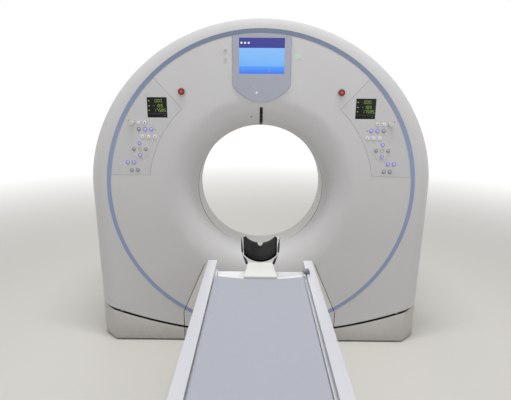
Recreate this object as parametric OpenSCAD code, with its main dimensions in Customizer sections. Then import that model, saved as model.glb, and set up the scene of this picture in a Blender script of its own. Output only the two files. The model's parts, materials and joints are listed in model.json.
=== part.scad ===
// CT scanner: a tilting gantry on a floor stand, and a patient table in front of it.
// X is to the right as seen from the table, Y runs from the table into the bore, Z is up.
// The origin is on the floor, on the centre plane, level with the gantry's front face.

/* [Gantry] */
// Height of the bore's axis above the floor
iso_h = 930; // [900:5:960]
// Diameter of the bore
bore_d = 720; // [700:5:740]
// Width of the gantry over its side walls
gantry_w = 1910; // [1880:10:1940]
// Depth of the outer shell, without the rear pan
shell_depth = 560; // [540:5:580]
// How far the rear pan stands out behind the shell
rear_pan = 40; // [25:5:60]
// How far the centre of the arched outline lies below the bore's axis
arch_drop = 62; // [55:1:70]
// Thickness of the moulded covers
cover_t = 8; // [6:1:10]
// Radius of the large rounding between the front face and the sides
corner_r = 112; // [106:1:118]
// Outer radius of the blue strip, about the bore's axis
strip_r = 846; // [842:1:848]
// Width of the blue strip
strip_w = 22; // [16:1:26]
// Radius at which the flat face starts to curve into the bore
funnel_r = 527; // [515:1:540]
// Depth at which the funnel meets the bore tube
throat_y = 145; // [135:1:155]
// Length of the bore tube
tube_l = 152; // [140:1:165]

/* [Tilt and base] */
// Depth of the scan plane, in which the tilt axis lies
scan_y = 260; // [250:1:270]
// Width of the gap between the tilting shell and the base skirt
tilt_gap = 14; // [12:1:18]
// Height of the middle of that gap above the floor, on the centre plane
gap_h = 50; // [46:1:58]
// Radius of the arc along which the gap rises towards the sides
gap_arc = 2600; // [2500:50:2800]
// Diameter of the tilt trunnions
trunnion_d = 90; // [70:5:110]
// Radial running clearance of shafts in their bores
fit = 0.05; // [0.03:0.01:0.08]
// Height of the open line under the skirt
floor_gap = 12; // [11:1:16]
// Width of the wide bevels on the skirt's front corners
bevel_w = 88; // [60:2:100]
// Depth of the same bevels
bevel_d = 80; // [60:2:95]

/* [Rotor] */
// Radius of the drum's rim, on which the belt runs
drum_r = 780; // [760:2:784]
// Distance of the focal spot from the bore's axis
focus_r = 560; // [550:2:575]
// Distance between the bore's wall and the detector's inner face
detector_gap = 35; // [25:1:45]
// Half of the detector's fan angle
fan_half = 26; // [24:0.5:28]
// Radius of the running face between the bearing's rings
bearing_r = 580; // [575:1:590]

/* [Controls] */
// Diameter of a push button
button_d = 21; // [16:1:24]
// Spacing of the buttons in a row
button_pitch = 33; // [32:1:36]
// Travel of a push button
button_travel = 2.5; // [1.5:0.5:3]
// Diameter of an emergency stop's head
stop_d = 34; // [28:2:40]
// Diameter of the speed knob
knob_d = 26; // [20:1:28]
// Side of a readout window
readout_w = 104; // [90:2:110]
// Width of the main screen
screen_w = 230; // [210:5:240]
// Height of the main screen
screen_h = 172; // [160:2:176]
// Width of the shield around the main screen
shield_w = 298; // [280:2:310]

/* [Table] */
// Height of the side rails' upper faces, with the table at rest
rail_top = 660; // [640:5:680]
// Distance of the rails' far ends from the gantry's face
rail_gap = 305; // [295:5:340]
// Length of the side rails
rail_l = 2300; // [2200:20:2400]
// Width of the table over its rails
table_w = 514; // [506:2:530]
// Width of one side rail
rail_w = 44; // [40:1:46]
// Width of the cradle
cradle_w = 394; // [380:2:400]
// Distance from the rails' far ends back to the end of the cradle
cradle_back = 130; // [110:5:160]
// Length of the cradle
cradle_l = 2130; // [2000:10:2130]
// Thickness of the mat
mat_t = 12; // [8:1:16]
// Width of the mat
mat_w = 400; // [390:2:404]
// How far the loose mat lies to the left of the middle
mat_shift = 8; // [0:1:8]
// Outer radius of the head holder's shallow trough
head_r = 106; // [100:1:112]

/* [Hidden] */
$fn = 96;
SMOOTH = 240;
EPS = 1;
SEAT = 0.3;

// Outline of the gantry, seen from the front
half_w = gantry_w / 2;
arch_h = iso_h - arch_drop;
bore_r = bore_d / 2;
face_r = strip_r - strip_w;
rear_y = shell_depth + rear_pan;
dome_r = half_w + 3;
pan_inset = 35;
flange_w = 45;
vent_x = 620;
vent_low = -130;
vent_l = 170;
vent_pitch = 20;
vent_count = 16;
door_x = 590;

// The tilt axis runs along X through the bore's axis in the scan plane
gap_r = iso_h - gap_h;
gap_crown = iso_h - 16;
zone_half = half_w + 60;

// Funnel: an arc that meets the flat face squarely and ends on the bore tube's edge
funnel_arc = (pow(funnel_r - bore_r, 2) + throat_y * throat_y) / (2 * throat_y);
tube_end = throat_y + tube_l;

// Control panels, as sectors of the face beside the blue strip
panel_in = 612;
panel_top_angle = 42.6;
panel_bottom = 94;
seam = 1;
ledge_w = 8;
ledge_t = 4;
panel_out = face_r - 2;

// Positions on the face are [distance to the side, height above the bore's axis]
knob_at = [684, 376];
row_1 = [649, 377];
row_2 = [649, 343];
row_3 = [632, 304];
travel_buttons = [row_1, row_1 - [button_pitch, 0], row_3, row_3 - [button_pitch, 0],
                  row_3 - [2 * button_pitch, 0]];
film_keys = [row_2, row_2 - [button_pitch, 0], row_2 - [2 * button_pitch, 0],
             [720, 165], [687, 165], [701, 123], [669, 123]];
pad_at = [650, 237];
pad_r = 50;
pad_key_r = 32;
pad_key_d = 17;
key_rise = 1.2;
readout_at = [546, 456];
stop_at = [414, 537];
shield_low = 488.5;
shield_shoulder = 571.7;
screen_low = 628;
shield_proud = 6;
stop_ring = 3;
stop_travel = 4;
stop_back = stop_ring + stop_travel + SEAT;
stop_head = 5;
lamps = [[-24.7, 534.5, 6], [-184.3, 737, 12], [-184.3, 694, 12], [183.4, 713, 13]];
slot_w = 17;
slot_top = 462;

// Lower insert of the face, behind the table's end
insert_in = 532;
insert_side = [[318, -426], [438, -706], [450, -740], [450, -900]];

// Layout of the rotating part along Y
disc_y = scan_y + 110;
disc_t = 18;
hub_end = disc_y + 100;
bearing_y = disc_y + 50;
bearing_w = 40;
hub_r = 545;
hub_t = 15;
frame_in = bearing_r + 40;
frame_out = half_w - 155;
frame_end = bearing_y + bearing_w;
cheek_x = frame_out;
cheek_t = 30;
cheek_h = 180;
stand_x = half_w - 110;
stand_t = 50;
detector_r = focus_r + bore_r + detector_gap;
supply_x = 640;
supply_w = 190;
supply_h = 300;
cooler_x = 450;
cooler_w = 150;
cooler_h = 220;

// Drive: the motor sits low on the right, and its belt goes round the drum's rim
motor_at = [690, -560];
motor_dist = norm(motor_at);
motor_angle = atan2(motor_at[1], motor_at[0]);
pulley_r = 60;
belt_t = 6;
belt_w = 30;
belt_y = disc_y - 10;
belt_wrap = acos((drum_r - pulley_r) / motor_dist);

// Table, with negative Y towards the near end
rail_far = -rail_gap;
rail_near = rail_far - rail_l;
rail_h = 60;
deck_z = rail_top - rail_h;
deck_t = 8;
beam_h = 72;
beam_w = 40;
frame_z = deck_z - deck_t - beam_h;
cradle_far = rail_far - cradle_back;
cradle_near = cradle_far - cradle_l;
cradle_edge_z = rail_top - 15;
cradle_rim = 6;
cradle_sag = 14;
cradle_belly = 26;
cradle_top_r = (pow(cradle_w / 2, 2) + cradle_sag * cradle_sag) / (2 * cradle_sag);
cradle_low_r = (pow(cradle_w / 2, 2) + cradle_belly * cradle_belly) / (2 * cradle_belly);
mat_back = 36;
wheel_x = -20;
wheel_w = 26;
wheel_y = -700;
wheel_z = deck_z - 36;
wheel_r = cradle_edge_z - cradle_rim - cradle_belly - wheel_z - SEAT;
pedestal_y = -1300;
pedestal_l = 700;
pedestal_w = 380;
sleeve_t = 10;
sleeve_step = sleeve_t + 0.5;
plate_t = 10;
pedestal_top = 330;
screw_r = 12;
screw_y = pedestal_y + 60;
screw_foot = 40;
screw_top = 455;
clip_l = 28;
clip_side = [[-18, 7], [8, 20], [15, 7], [15, 0], [-10, 0]];
holder_y = cradle_far - mat_back + 2;
holder_z = cradle_edge_z - cradle_sag - 1;
trough_y0 = cradle_far + 62;
trough_y1 = cradle_far + 275;
trough_floor = 680;
holder_t = 6;
trough_z = trough_floor + head_r - holder_t;
rim_rise = 33;
rim_slope = 4;
neck_wide = 76;
neck_narrow = 57;
neck_top = 20;
pad_t = 15;
strap_t = 2;
strap_w = 36;
strap_y = trough_y0 + 30;
strap_low = 61;
strap_high = 60;

// Shared shapes
module at_bore()
    translate([0, 0, iso_h]) rotate([-90, 0, 0]) children();

// A plate in the face: 2D shape in [side, height above the bore's axis], from y0 to y1
module face_plate(y0, y1)
    translate([0, y1, iso_h]) rotate([90, 0, 0]) linear_extrude(y1 - y0) children();

module ring_2d(r_in, r_out)
    difference() {
        circle(r_out, $fn = SMOOTH);
        circle(r_in, $fn = SMOOTH);
    }

// A ring about the bore's axis
module bore_ring(r_in, r_out, y0, y1)
    face_plate(y0, y1) ring_2d(r_in, r_out);

// Outline of the gantry from the front: an arch on straight sides, pulled in by inset
module outline_2d(inset = 0) {
    translate([0, arch_h - iso_h]) circle(half_w - inset, $fn = SMOOTH);
    translate([inset - half_w, -iso_h]) square([gantry_w - 2 * inset, arch_h]);
}

// Side of the front dome: flat face, then a round corner of corner_r
module dome_2d(t) {
    translate([0, t]) square([dome_r - corner_r, rear_y]);
    translate([0, corner_r]) square([dome_r - t, rear_y]);
    translate([dome_r - corner_r, corner_r]) circle(corner_r - t, $fn = SMOOTH);
}

// Solid under the front dome: turned about the bore above its axis, straight below it
module dome(t) {
    at_bore() rotate([0, 0, 180]) rotate_extrude(angle = 180, $fn = SMOOTH)
        intersection() {
            dome_2d(t);
            square([zone_half * 2, rear_y]);
        }
    for (side = [0, 1]) mirror([side, 0, 0])
        linear_extrude(iso_h) intersection() {
            dome_2d(t);
            square([zone_half * 2, rear_y]);
        }
}

module gantry_block(t)
    intersection() {
        face_plate(t, rear_y) outline_2d(t);
        dome(t);
    }

// All that may swing about the tilt axis: a turned body, crowned in the middle
module tilt_zone(grow)
    translate([0, scan_y, iso_h]) rotate([0, 90, 0]) rotate_extrude($fn = SMOOTH)
        intersection() {
            translate([0, -zone_half]) square([gap_r + grow, 2 * zone_half]);
            translate([gap_crown - gap_arc, 0]) circle(gap_arc + grow, $fn = SMOOTH);
        }

// Everything below the tilting shell
module below_shell()
    difference() {
        translate([-zone_half, -EPS, -half_w]) cube([2 * zone_half, rear_y + 2 * EPS, half_w + iso_h * 0.6]);
        tilt_zone(-tilt_gap / 2);
    }

// Control panel region on the right, pulled in by inset
module control_2d(inset)
    intersection() {
        ring_2d(panel_in + inset, panel_out - inset);
        translate([0, panel_bottom + inset]) square(2 * face_r);
        rotate(-panel_top_angle) translate([inset, -face_r]) square(2 * face_r);
    }

module shield_2d(inset) {
    drop = shield_shoulder - shield_low;
    round_r = (pow(shield_w / 2, 2) + drop * drop) / (2 * drop);
    intersection() {
        circle(panel_out - inset, $fn = SMOOTH);
        translate([inset - shield_w / 2, 0]) square([shield_w - 2 * inset, face_r]);
        union() {
            translate([0, shield_low + round_r]) circle(round_r - inset, $fn = SMOOTH);
            translate([-shield_w, shield_shoulder]) square([2 * shield_w, face_r]);
        }
    }
}

module insert_2d(inset)
    difference() {
        intersection() {
            polygon(concat([for (p = insert_side) [p[0] - inset, p[1]]],
                           [for (i = [3:-1:0]) [inset - insert_side[i][0], insert_side[i][1]]]));
            circle(panel_out - inset, $fn = SMOOTH);
        }
        circle(insert_in + inset, $fn = SMOOTH);
    }

module slot_2d(inset) {
    translate([inset - slot_w / 2, bore_r - 20]) square([slot_w - 2 * inset, slot_top - bore_r + 20 - slot_w / 2]);
    translate([0, slot_top - slot_w / 2]) circle(slot_w / 2 - inset);
}

// A ledge behind an opening in the face, on which an inset panel rests
module ledge() difference() {
    face_plate(cover_t, cover_t + ledge_t) children(0);
    face_plate(cover_t - EPS, cover_t + ledge_t + EPS) children(1);
}

// Funnel wall from the flat face to the bore tube
module funnel_2d(t)
    intersection() {
        translate([bore_r - 2 * cover_t, 0]) square([funnel_r - bore_r + 2 * cover_t, throat_y]);
        difference() {
            translate([funnel_r, funnel_arc]) circle(funnel_arc, $fn = SMOOTH);
            translate([funnel_r, funnel_arc]) circle(funnel_arc - t, $fn = SMOOTH);
        }
    }

module both_sides() {
    children();
    mirror([1, 0, 0]) children();
}

// Gantry base
module base_frame() color("dimgray") {
    post_y = scan_y + 10;
    post_d = 40;
    head_d = 150;
    difference() {
        union() {
            linear_extrude(plate_t) {
                translate([25 - half_w, 25 + bevel_d]) square([gantry_w - 50, rear_y - bevel_d - 55]);
                translate([bevel_w + 25 - half_w, 25]) square([gantry_w - 2 * bevel_w - 50, bevel_d + EPS]);
                translate([-150, pedestal_y]) square([300, 40 - pedestal_y]);
                translate([-230, pedestal_y - 460]) square([460, 920]);
            }
            for (y = [bevel_d + 60, rear_y - 110])
                translate([85 - half_w, y, plate_t - EPS]) cube([gantry_w - 170, 50, 26]);
            for (x = [-500, 500], y = [cover_t, rear_y - cover_t - 60])
                translate([x - 30, y, plate_t - EPS]) cube([60, 60, 30]);
            both_sides() {
                for (y = [200, 440])
                    translate([half_w - cover_t - 60, y, plate_t - EPS]) cube([60, 60, 30]);
                translate([stand_x - 180, post_y, plate_t - EPS]) cube([180 + stand_t, post_d, iso_h - 100 - plate_t]);
                translate([stand_x, scan_y - head_d / 2, iso_h - 140]) cube([stand_t, head_d, 210]);
                translate([stand_x - 180, 120, plate_t - EPS]) cube([180 + stand_t, 330, 34]);
            }
        }
        both_sides() {
            translate([stand_x - 200, scan_y, iso_h]) rotate([0, 90, 0]) cylinder(r = trunnion_d / 2 + fit, h = 400);
            translate([0, scan_y, iso_h]) rotate([0, 90, 0]) cylinder(r = frame_out + 45, h = stand_x - 0.01);
        }
        for (x = [-1, 1], y = [70 + bevel_d, rear_y - 60])
            translate([x * (half_w - 60), y, -EPS]) cylinder(d = 18, h = plate_t + 2 * EPS);
        for (x = [-1, 1], y = [-1, 1])
            translate([x * 205, pedestal_y + y * 430, -EPS]) cylinder(d = 14, h = plate_t + 2 * EPS);
    }
}

module skirt_2d(inset) {
    half = half_w - inset;
    bevel_x = half_w - bevel_w - inset * 0.4;
    bevel_y = bevel_d + inset * 0.4;
    polygon([[half, rear_y - inset], [half, bevel_y], [bevel_x, inset],
             [-bevel_x, inset], [-half, bevel_y], [-half, rear_y - inset]]);
}

module base_skirt() color("gainsboro") difference() {
    translate([0, 0, floor_gap]) linear_extrude(iso_h * 0.5) skirt_2d(0);
    translate([0, 0, floor_gap - EPS]) linear_extrude(iso_h * 0.5 + 2 * EPS) skirt_2d(cover_t);
    tilt_zone(tilt_gap / 2);
    insert_seams();
}

// Seam lines on both sides of the middle of the front, below the blue strip
module insert_seams()
    for (x = [-1, 1])
        translate([x * insert_side[2][0] - 1, -EPS, 0]) cube([2, EPS + 2, iso_h - strip_r * 0.88]);

module tilt_motor() color("slategray") {
    translate([stand_x + stand_t, scan_y, iso_h]) rotate([0, 90, 0]) {
        cylinder(d = 130, h = 36);
        for (a = [45:90:315]) rotate(a) translate([58, 0, 0]) cylinder(d = 22, h = 12);
    }
}

module tilt_frame() color("silver") difference() {
    union() {
        bore_ring(frame_in, frame_out, bearing_y, frame_end);
        both_sides() {
            translate([frame_in + 60, bearing_y, iso_h - cheek_h / 2])
                cube([cheek_x + cheek_t - frame_in - 60, bearing_w, cheek_h]);
            translate([cheek_x, scan_y - 60, iso_h - cheek_h / 2])
                cube([cheek_t, frame_end - scan_y + 60, cheek_h]);
            translate([cheek_x + cheek_t / 2, scan_y, iso_h]) rotate([0, 90, 0])
                cylinder(d = trunnion_d, h = stand_x + stand_t - cheek_x - cheek_t / 2 - SEAT);
        }
        for (a = [30:60:330])
            at_bore() rotate([0, 0, a]) translate([710, 0, frame_end - EPS])
                cylinder(d = 50, h = rear_y - cover_t - frame_end + EPS);
        face_plate(bearing_y, frame_end) intersection() {
            translate(motor_at) circle(110);
            circle(motor_dist + 90, $fn = SMOOTH);
        }
        face_plate(bearing_y, frame_end) rotate(motor_angle) translate([frame_out - 60, -100]) square([100, 200]);
    }
    face_plate(bearing_y - EPS, frame_end + EPS) translate(motor_at) circle(20);
}

module outer_shell() color("whitesmoke") difference() {
    intersection() {
        gantry_block(0);
        face_plate(0, shell_depth) square(4 * half_w, center = true);
    }
    intersection() {
        gantry_block(cover_t);
        face_plate(0, shell_depth - cover_t) square(4 * half_w, center = true);
    }
    face_plate(-EPS, shell_depth / 2) circle(strip_r, $fn = SMOOTH);
    face_plate(shell_depth / 2, rear_y) outline_2d(flange_w);
    below_shell();
    insert_seams();
}

module front_cover() color("whitesmoke") {
    difference() {
        union() {
            bore_ring(funnel_r, face_r, 0, cover_t);
            at_bore() rotate_extrude($fn = SMOOTH) funnel_2d(cover_t);
            both_sides() ledge() {
                control_2d(-ledge_w / 2);
                control_2d(ledge_w);
            }
            ledge() {
                shield_2d(-ledge_w / 2);
                shield_2d(ledge_w);
            }
            ledge() {
                insert_2d(-ledge_w / 2);
                insert_2d(ledge_w);
            }
        }
        both_sides() face_plate(-EPS, cover_t) control_2d(0);
        face_plate(-EPS, cover_t) shield_2d(0);
        face_plate(-EPS, cover_t) insert_2d(0);
        face_plate(-EPS, throat_y) slot_2d(0);
        for (i = [1:3])
            face_plate(-EPS, 3 * cover_t) translate([lamps[i][0], lamps[i][1]]) circle(lamps[i][2] + SEAT);
        both_sides() face_plate(-EPS, 3 * cover_t) translate(stop_at) circle(stop_d * 0.3 + SEAT);
    }
    both_sides() face_plate(-stop_ring, EPS) translate(stop_at) difference() {
        circle(stop_d * 0.68);
        circle(stop_d * 0.3 + SEAT);
    }
}

// Control panel for the right side: openings for buttons, knob and readout, and film keys
module control_panel() color("ghostwhite") {
    difference() {
        face_plate(0, cover_t) control_2d(seam);
        for (p = travel_buttons) {
            face_plate(-EPS, cover_t + EPS) translate(p) circle(d = button_d + 2 * SEAT);
            face_plate(cover_t - 3, cover_t + EPS) translate(p) circle(d = button_d + 5 + 2 * SEAT);
        }
        face_plate(-EPS, cover_t + EPS) translate(knob_at) circle(5 + fit);
        face_plate(-EPS, 3) translate(readout_at) square(readout_w + 2 * SEAT, center = true);
    }
    for (p = film_keys)
        face_plate(-key_rise, EPS) translate(p) circle(d = button_d - 1);
    face_plate(-key_rise, EPS) translate(pad_at) circle(pad_r);
    for (a = [0:90:270])
        face_plate(-2 * key_rise, EPS) translate(pad_at) rotate(a) translate([pad_key_r, 0]) circle(d = pad_key_d);
}

module left_control_panel() mirror([1, 0, 0]) control_panel();
module right_control_panel() control_panel();

module display_panel() color("lavender") difference() {
    face_plate(-shield_proud, cover_t) shield_2d(seam);
    face_plate(-shield_proud - EPS, 3 - shield_proud) screen_2d(SEAT);
    face_plate(-shield_proud - EPS, 4 - shield_proud) translate([lamps[0][0], lamps[0][1]]) circle(lamps[0][2] + SEAT);
}

module screen_2d(grow)
    translate([-screen_w / 2 - grow, screen_low - grow]) square([screen_w + 2 * grow, screen_h + 2 * grow]);

module main_screen() color("royalblue")
    face_plate(-shield_proud, 3 - shield_proud) screen_2d(0);

module readouts() color("black") both_sides()
    face_plate(0.5, 3) translate(readout_at) square(readout_w, center = true);

module lower_insert() color("linen") difference() {
    face_plate(0, cover_t) insert_2d(seam);
    below_shell();
}

// The blue strip stops where the tilt gap cuts the face
module light_strip() color("lightsteelblue") difference() {
    bore_ring(face_r, strip_r, -1, cover_t - 2);
    below_shell();
}

module bore_liner() color("tan")
    bore_ring(bore_r, bore_r + 6, throat_y, tube_end);

module laser_window() color("black") intersection() {
    at_bore() rotate_extrude($fn = SMOOTH) funnel_2d(cover_t - 3);
    face_plate(0, throat_y) slot_2d(SEAT);
}

module indicator_lamps() color("lightgreen") {
    face_plate(-shield_proud - 1, 4 - shield_proud) translate([lamps[0][0], lamps[0][1]]) circle(lamps[0][2]);
    for (i = [1:3])
        face_plate(-1.5, cover_t) translate([lamps[i][0], lamps[i][1]]) circle(lamps[i][2]);
}

module rear_cover() color("whitesmoke") difference() {
    union() {
        difference() {
            face_plate(shell_depth, rear_y) outline_2d(pan_inset);
            face_plate(shell_depth - EPS, rear_y - cover_t) outline_2d(pan_inset + cover_t);
            face_plate(shell_depth, rear_y + EPS) circle(funnel_r - 7, $fn = SMOOTH);
        }
        at_bore() rotate_extrude($fn = SMOOTH) polygon([
            [bore_r, tube_end], [bore_r + 80, rear_y - 60], [funnel_r - 7, rear_y],
            [funnel_r - 6, rear_y], [funnel_r - 6, rear_y - cover_t], [funnel_r, rear_y - cover_t],
            [bore_r + 90, rear_y - 60], [bore_r + cover_t, tube_end]]);
    }
    below_shell();
    both_sides() for (i = [0:vent_count - 1])
        face_plate(rear_y - cover_t - EPS, rear_y + EPS)
            translate([vent_x, vent_low + i * vent_pitch]) square([vent_l, vent_pitch / 2]);
    both_sides() face_plate(rear_y - 2, rear_y + EPS) translate([door_x, -iso_h]) square([2, 2 * iso_h]);
}

module bearing_outer_ring() color("lightgray")
    bore_ring(bearing_r + fit, frame_in, bearing_y, frame_end);

module bearing_inner_ring() color("lightgray")
    bore_ring(hub_r, bearing_r, bearing_y, frame_end);

module drive_motor() color("slategray") {
    face_plate(frame_end, rear_y - 25) translate(motor_at) circle(68);
    face_plate(belt_y, frame_end) translate(motor_at) circle(12);
}

// Belt round the drum's rim and the motor's pulley
module drive_belt() color("black") {
    face_plate(belt_y - belt_w / 2, belt_y + belt_w / 2) difference() {
        belt_loop_2d(SEAT + belt_t);
        belt_loop_2d(SEAT);
    }
}

function on_circle(r, angle) = [r * cos(angle), r * sin(angle)];

module belt_loop_2d(grow) {
    upper = motor_angle + belt_wrap;
    lower = motor_angle - belt_wrap;
    circle(drum_r + grow, $fn = SMOOTH);
    translate(motor_at) circle(pulley_r + grow);
    polygon([on_circle(drum_r + grow, upper), on_circle(drum_r + grow, lower),
             motor_at + on_circle(pulley_r + grow, lower), motor_at + on_circle(pulley_r + grow, upper)]);
}

module motor_pulley() color("silver") difference() {
    union() {
        face_plate(belt_y - belt_w / 2 - 3, belt_y + belt_w / 2 + 3) translate(motor_at) circle(pulley_r);
        face_plate(belt_y - belt_w / 2 - 6, belt_y - belt_w / 2 - 3) translate(motor_at) circle(pulley_r + 4);
    }
    face_plate(belt_y - EPS, frame_end) translate(motor_at) circle(12 + fit);
}

module brush_block() color("darkslategray")
    at_bore() rotate([0, 0, -135]) {
        translate([bearing_r - 17, -40, hub_end]) cube([90, 80, 34]);
        translate([frame_in - 10, -30, frame_end]) cube([60, 60, hub_end - frame_end + EPS]);
    }

module rotor_drum() color("silver") {
    difference() {
        bore_ring(bore_r + 50, drum_r, disc_y, disc_y + disc_t);
        for (a = [0:30:330])
            face_plate(disc_y - EPS, disc_y + disc_t + EPS) rotate(a + 15) translate([680, 0]) circle(40);
    }
    bore_ring(drum_r - 28, drum_r, belt_y - belt_w / 2 - 4, belt_y + belt_w / 2 + 4);
    bore_ring(hub_r - hub_t, hub_r, disc_y + disc_t - EPS, hub_end);
}

module xray_tube() color("goldenrod") {
    face_plate(scan_y - 110, disc_y) translate([0, focus_r]) circle(95);
    face_plate(scan_y - 60, scan_y + 60) translate([0, focus_r]) circle(112);
}

module collimator() color("dimgray") difference() {
    face_plate(scan_y - 40, scan_y + 40) translate([-80, 405]) square([160, 110]);
    face_plate(scan_y - 50, scan_y + 50) translate([0, focus_r]) circle(112);
    face_plate(scan_y - 8, scan_y + 8) polygon([[-20, 520], [20, 520], [60, 400], [-60, 400]]);
}

module high_voltage_unit() color("darkgray") {
    face_plate(scan_y - 120, disc_y) translate([-supply_x, -supply_h / 2]) square([supply_w, supply_h]);
    face_plate(scan_y - 90, disc_y) translate([40 - supply_x, supply_h / 2]) square([supply_w - 70, 60]);
}

module oil_cooler() color("gray") {
    face_plate(scan_y - 100, disc_y) translate([cooler_x, -cooler_h / 2]) square([cooler_w, cooler_h]);
    for (z = [20 - cooler_h / 2:20:cooler_h / 2 - 20])
        face_plate(scan_y - 90, disc_y - 20) translate([cooler_x + cooler_w - EPS, z - 4]) square([41, 8]);
}

// Detector: an arc about the focal spot, carried by a web on the drum
module detector() color("steelblue")
    for (part = [[detector_r, detector_r + 60, scan_y - 45, scan_y + 45],
                 [detector_r + 10, detector_r + 45, scan_y + 44, disc_y]])
        at_bore() translate([0, -focus_r, part[2]])
            rotate([0, 0, 90 - fan_half])
                rotate_extrude(angle = 2 * fan_half, $fn = SMOOTH)
                    translate([part[0], 0]) square([part[1] - part[0], part[3] - part[2]]);

module slip_ring() color("peru") difference() {
    bore_ring(hub_r - 75, bearing_r - 20, hub_end, hub_end + 25);
    for (r = [hub_r - 65:18:hub_r])
        bore_ring(r, r + 8, hub_end + 23, hub_end + 26);
}

// Buttons, knobs and stops, all drawn for the right side
module push_button(p) color("white") {
    face_plate(-3, cover_t) translate(p) circle(d = button_d);
    face_plate(cover_t - 2.5, cover_t) translate(p) circle(d = button_d + 5);
}

module speed_knob() color("white") {
    face_plate(-14, -SEAT) translate(knob_at) circle(d = knob_d, $fn = 48);
    face_plate(-EPS, cover_t + 6) translate(knob_at) circle(5);
    face_plate(-15, -13) translate(knob_at + [0, knob_d / 4]) square([3, knob_d / 2 - 2], center = true);
}

module stop_button() color("red") {
    face_plate(-stop_back - stop_head, -stop_back) translate(stop_at) circle(stop_d / 2);
    face_plate(-stop_back - EPS, cover_t + 10) translate(stop_at) circle(stop_d * 0.3);
}

// Table: fixed parts of the pedestal
module sleeve(inset, z0, z1) difference() {
    translate([inset - pedestal_w / 2, pedestal_y - pedestal_l / 2 + inset, z0])
        cube([pedestal_w - 2 * inset, pedestal_l - 2 * inset, z1 - z0]);
    translate([inset + sleeve_t - pedestal_w / 2, pedestal_y - pedestal_l / 2 + inset + sleeve_t, z0 - EPS])
        cube([pedestal_w - 2 * inset - 2 * sleeve_t, pedestal_l - 2 * inset - 2 * sleeve_t, z1 - z0 + 2 * EPS]);
}

module pedestal_cover() color("gainsboro") {
    sleeve(0, plate_t, pedestal_top);
    translate([0, pedestal_y, plate_t]) linear_extrude(12) difference() {
        square([pedestal_w + 50, pedestal_l + 100], center = true);
        square([pedestal_w - 10, pedestal_l - 10], center = true);
    }
}

module middle_sleeve() color("darkgray") sleeve(sleeve_step, 200, 430);

module upper_sleeve() color("gainsboro") sleeve(2 * sleeve_step, 230, frame_z);

module lift_screw() color("silver") translate([0, screw_y, 0]) {
    translate([0, 0, screw_foot]) cylinder(r = screw_r, h = screw_top - screw_foot);
    translate([0, 0, screw_foot]) cylinder(r = 34, h = 16);
}

module lift_motor() color("slategray") {
    translate([-120, screw_y - 60, plate_t]) cube([200, 120, screw_foot - plate_t - SEAT]);
    translate([-92, screw_y - 160, plate_t + 60]) rotate([-90, 0, 0]) cylinder(d = 90, h = 190);
    translate([-120, screw_y - 150, plate_t]) cube([60, 150, 30]);
}

module table_frame() color("silver") difference() {
    union() {
        both_sides() translate([150, rail_near + 40, frame_z]) cube([beam_w, rail_l - 100, beam_h]);
        for (y = [rail_near + 100:420:rail_far - 150])
            translate([-151, y, frame_z]) cube([302, 60, beam_h]);
        translate([-table_w / 2 + 2, rail_near + 2, deck_z - deck_t]) cube([table_w - 4, rail_l - 4, deck_t]);
        both_sides() translate([60, rail_near + 60, deck_z - EPS]) cube([30, rail_l - 100, 14]);
        translate([-40, screw_y - 40, frame_z]) cube([80, 80, beam_h]);
        translate([-151, screw_y - 40, frame_z]) cube([302, 80, 20]);
        translate([0, screw_y, 190]) cylinder(r = screw_r + 12, h = frame_z - 189);
        both_sides() translate([155, cradle_far + 6, deck_z - EPS]) cube([26, 30, 26]);
    }
    translate([wheel_x - 6, wheel_y - 52, deck_z - deck_t - EPS]) cube([wheel_w + 12, 104, deck_t + 2 * EPS]);
    translate([0, screw_y, 180]) cylinder(r = screw_r + fit, h = frame_z + 60 - 180);
}

module table_tray() color("whitesmoke") difference() {
    translate([21 - table_w / 2, rail_near + 10, frame_z - 20])
        cube([table_w - 42, rail_l - 22, deck_z - deck_t - frame_z + 20]);
    translate([26 - table_w / 2, rail_near + 15, frame_z - 12])
        cube([table_w - 52, rail_l - 32, deck_z - deck_t - frame_z + 14]);
    translate([20 - pedestal_w / 2, pedestal_y - pedestal_l / 2 + 20, frame_z - 21])
        cube([pedestal_w - 40, pedestal_l - 40, 30]);
}

module side_rails() color("white") both_sides() difference() {
    union() {
        translate([table_w / 2 - rail_w, rail_near, deck_z]) cube([rail_w, rail_l, rail_h]);
        translate([table_w / 2 - rail_w - 9, rail_near + 40, deck_z]) cube([10, rail_l - 100, rail_h - 24]);
    }
    translate([table_w / 2 - 3, rail_near - EPS, deck_z + 22]) cube([4, rail_l + 2 * EPS, 12]);
    translate([table_w / 2 - rail_w - 9.5, rail_near, deck_z + rail_h - 27]) cube([6, rail_l, 2]);
}

module rail_clip() color("dimgray")
    translate([table_w / 2 - rail_w, cradle_far, rail_top]) {
        rotate([90, 0, 0]) linear_extrude(clip_l) polygon(clip_side);
        translate([-4, -clip_l + 4, -9]) cube([4 - SEAT, clip_l - 8, 10]);
    }

module wheel_axis(x) translate([x, wheel_y, wheel_z]) rotate([0, 90, 0]) children();

module cradle_motor() color("slategray") {
    wheel_axis(-130) cylinder(d = 54, h = 105);
    translate([-28, wheel_y - 30, frame_z + 10]) cube([4, 60, beam_h - 10]);
    wheel_axis(-26) cylinder(d = 10, h = 26 + wheel_x + wheel_w);
}

// Drive wheel that carries the cradle along from below
module cradle_wheel() color("dimgray") difference() {
    wheel_axis(wheel_x) cylinder(r = wheel_r, h = wheel_w);
    wheel_axis(wheel_x - EPS) cylinder(d = 10 + 2 * fit, h = wheel_w + 2 * EPS);
}

// Section across the cradle: a shallow trough with a rounder underside
module cradle_2d() intersection() {
    translate([0, cradle_edge_z - cradle_rim - cradle_belly + cradle_low_r]) circle(cradle_low_r, $fn = SMOOTH);
    difference() {
        translate([-cradle_w / 2, cradle_edge_z - 60]) square([cradle_w, 60]);
        translate([0, cradle_edge_z - cradle_sag + cradle_top_r]) circle(cradle_top_r, $fn = SMOOTH);
    }
}

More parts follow.
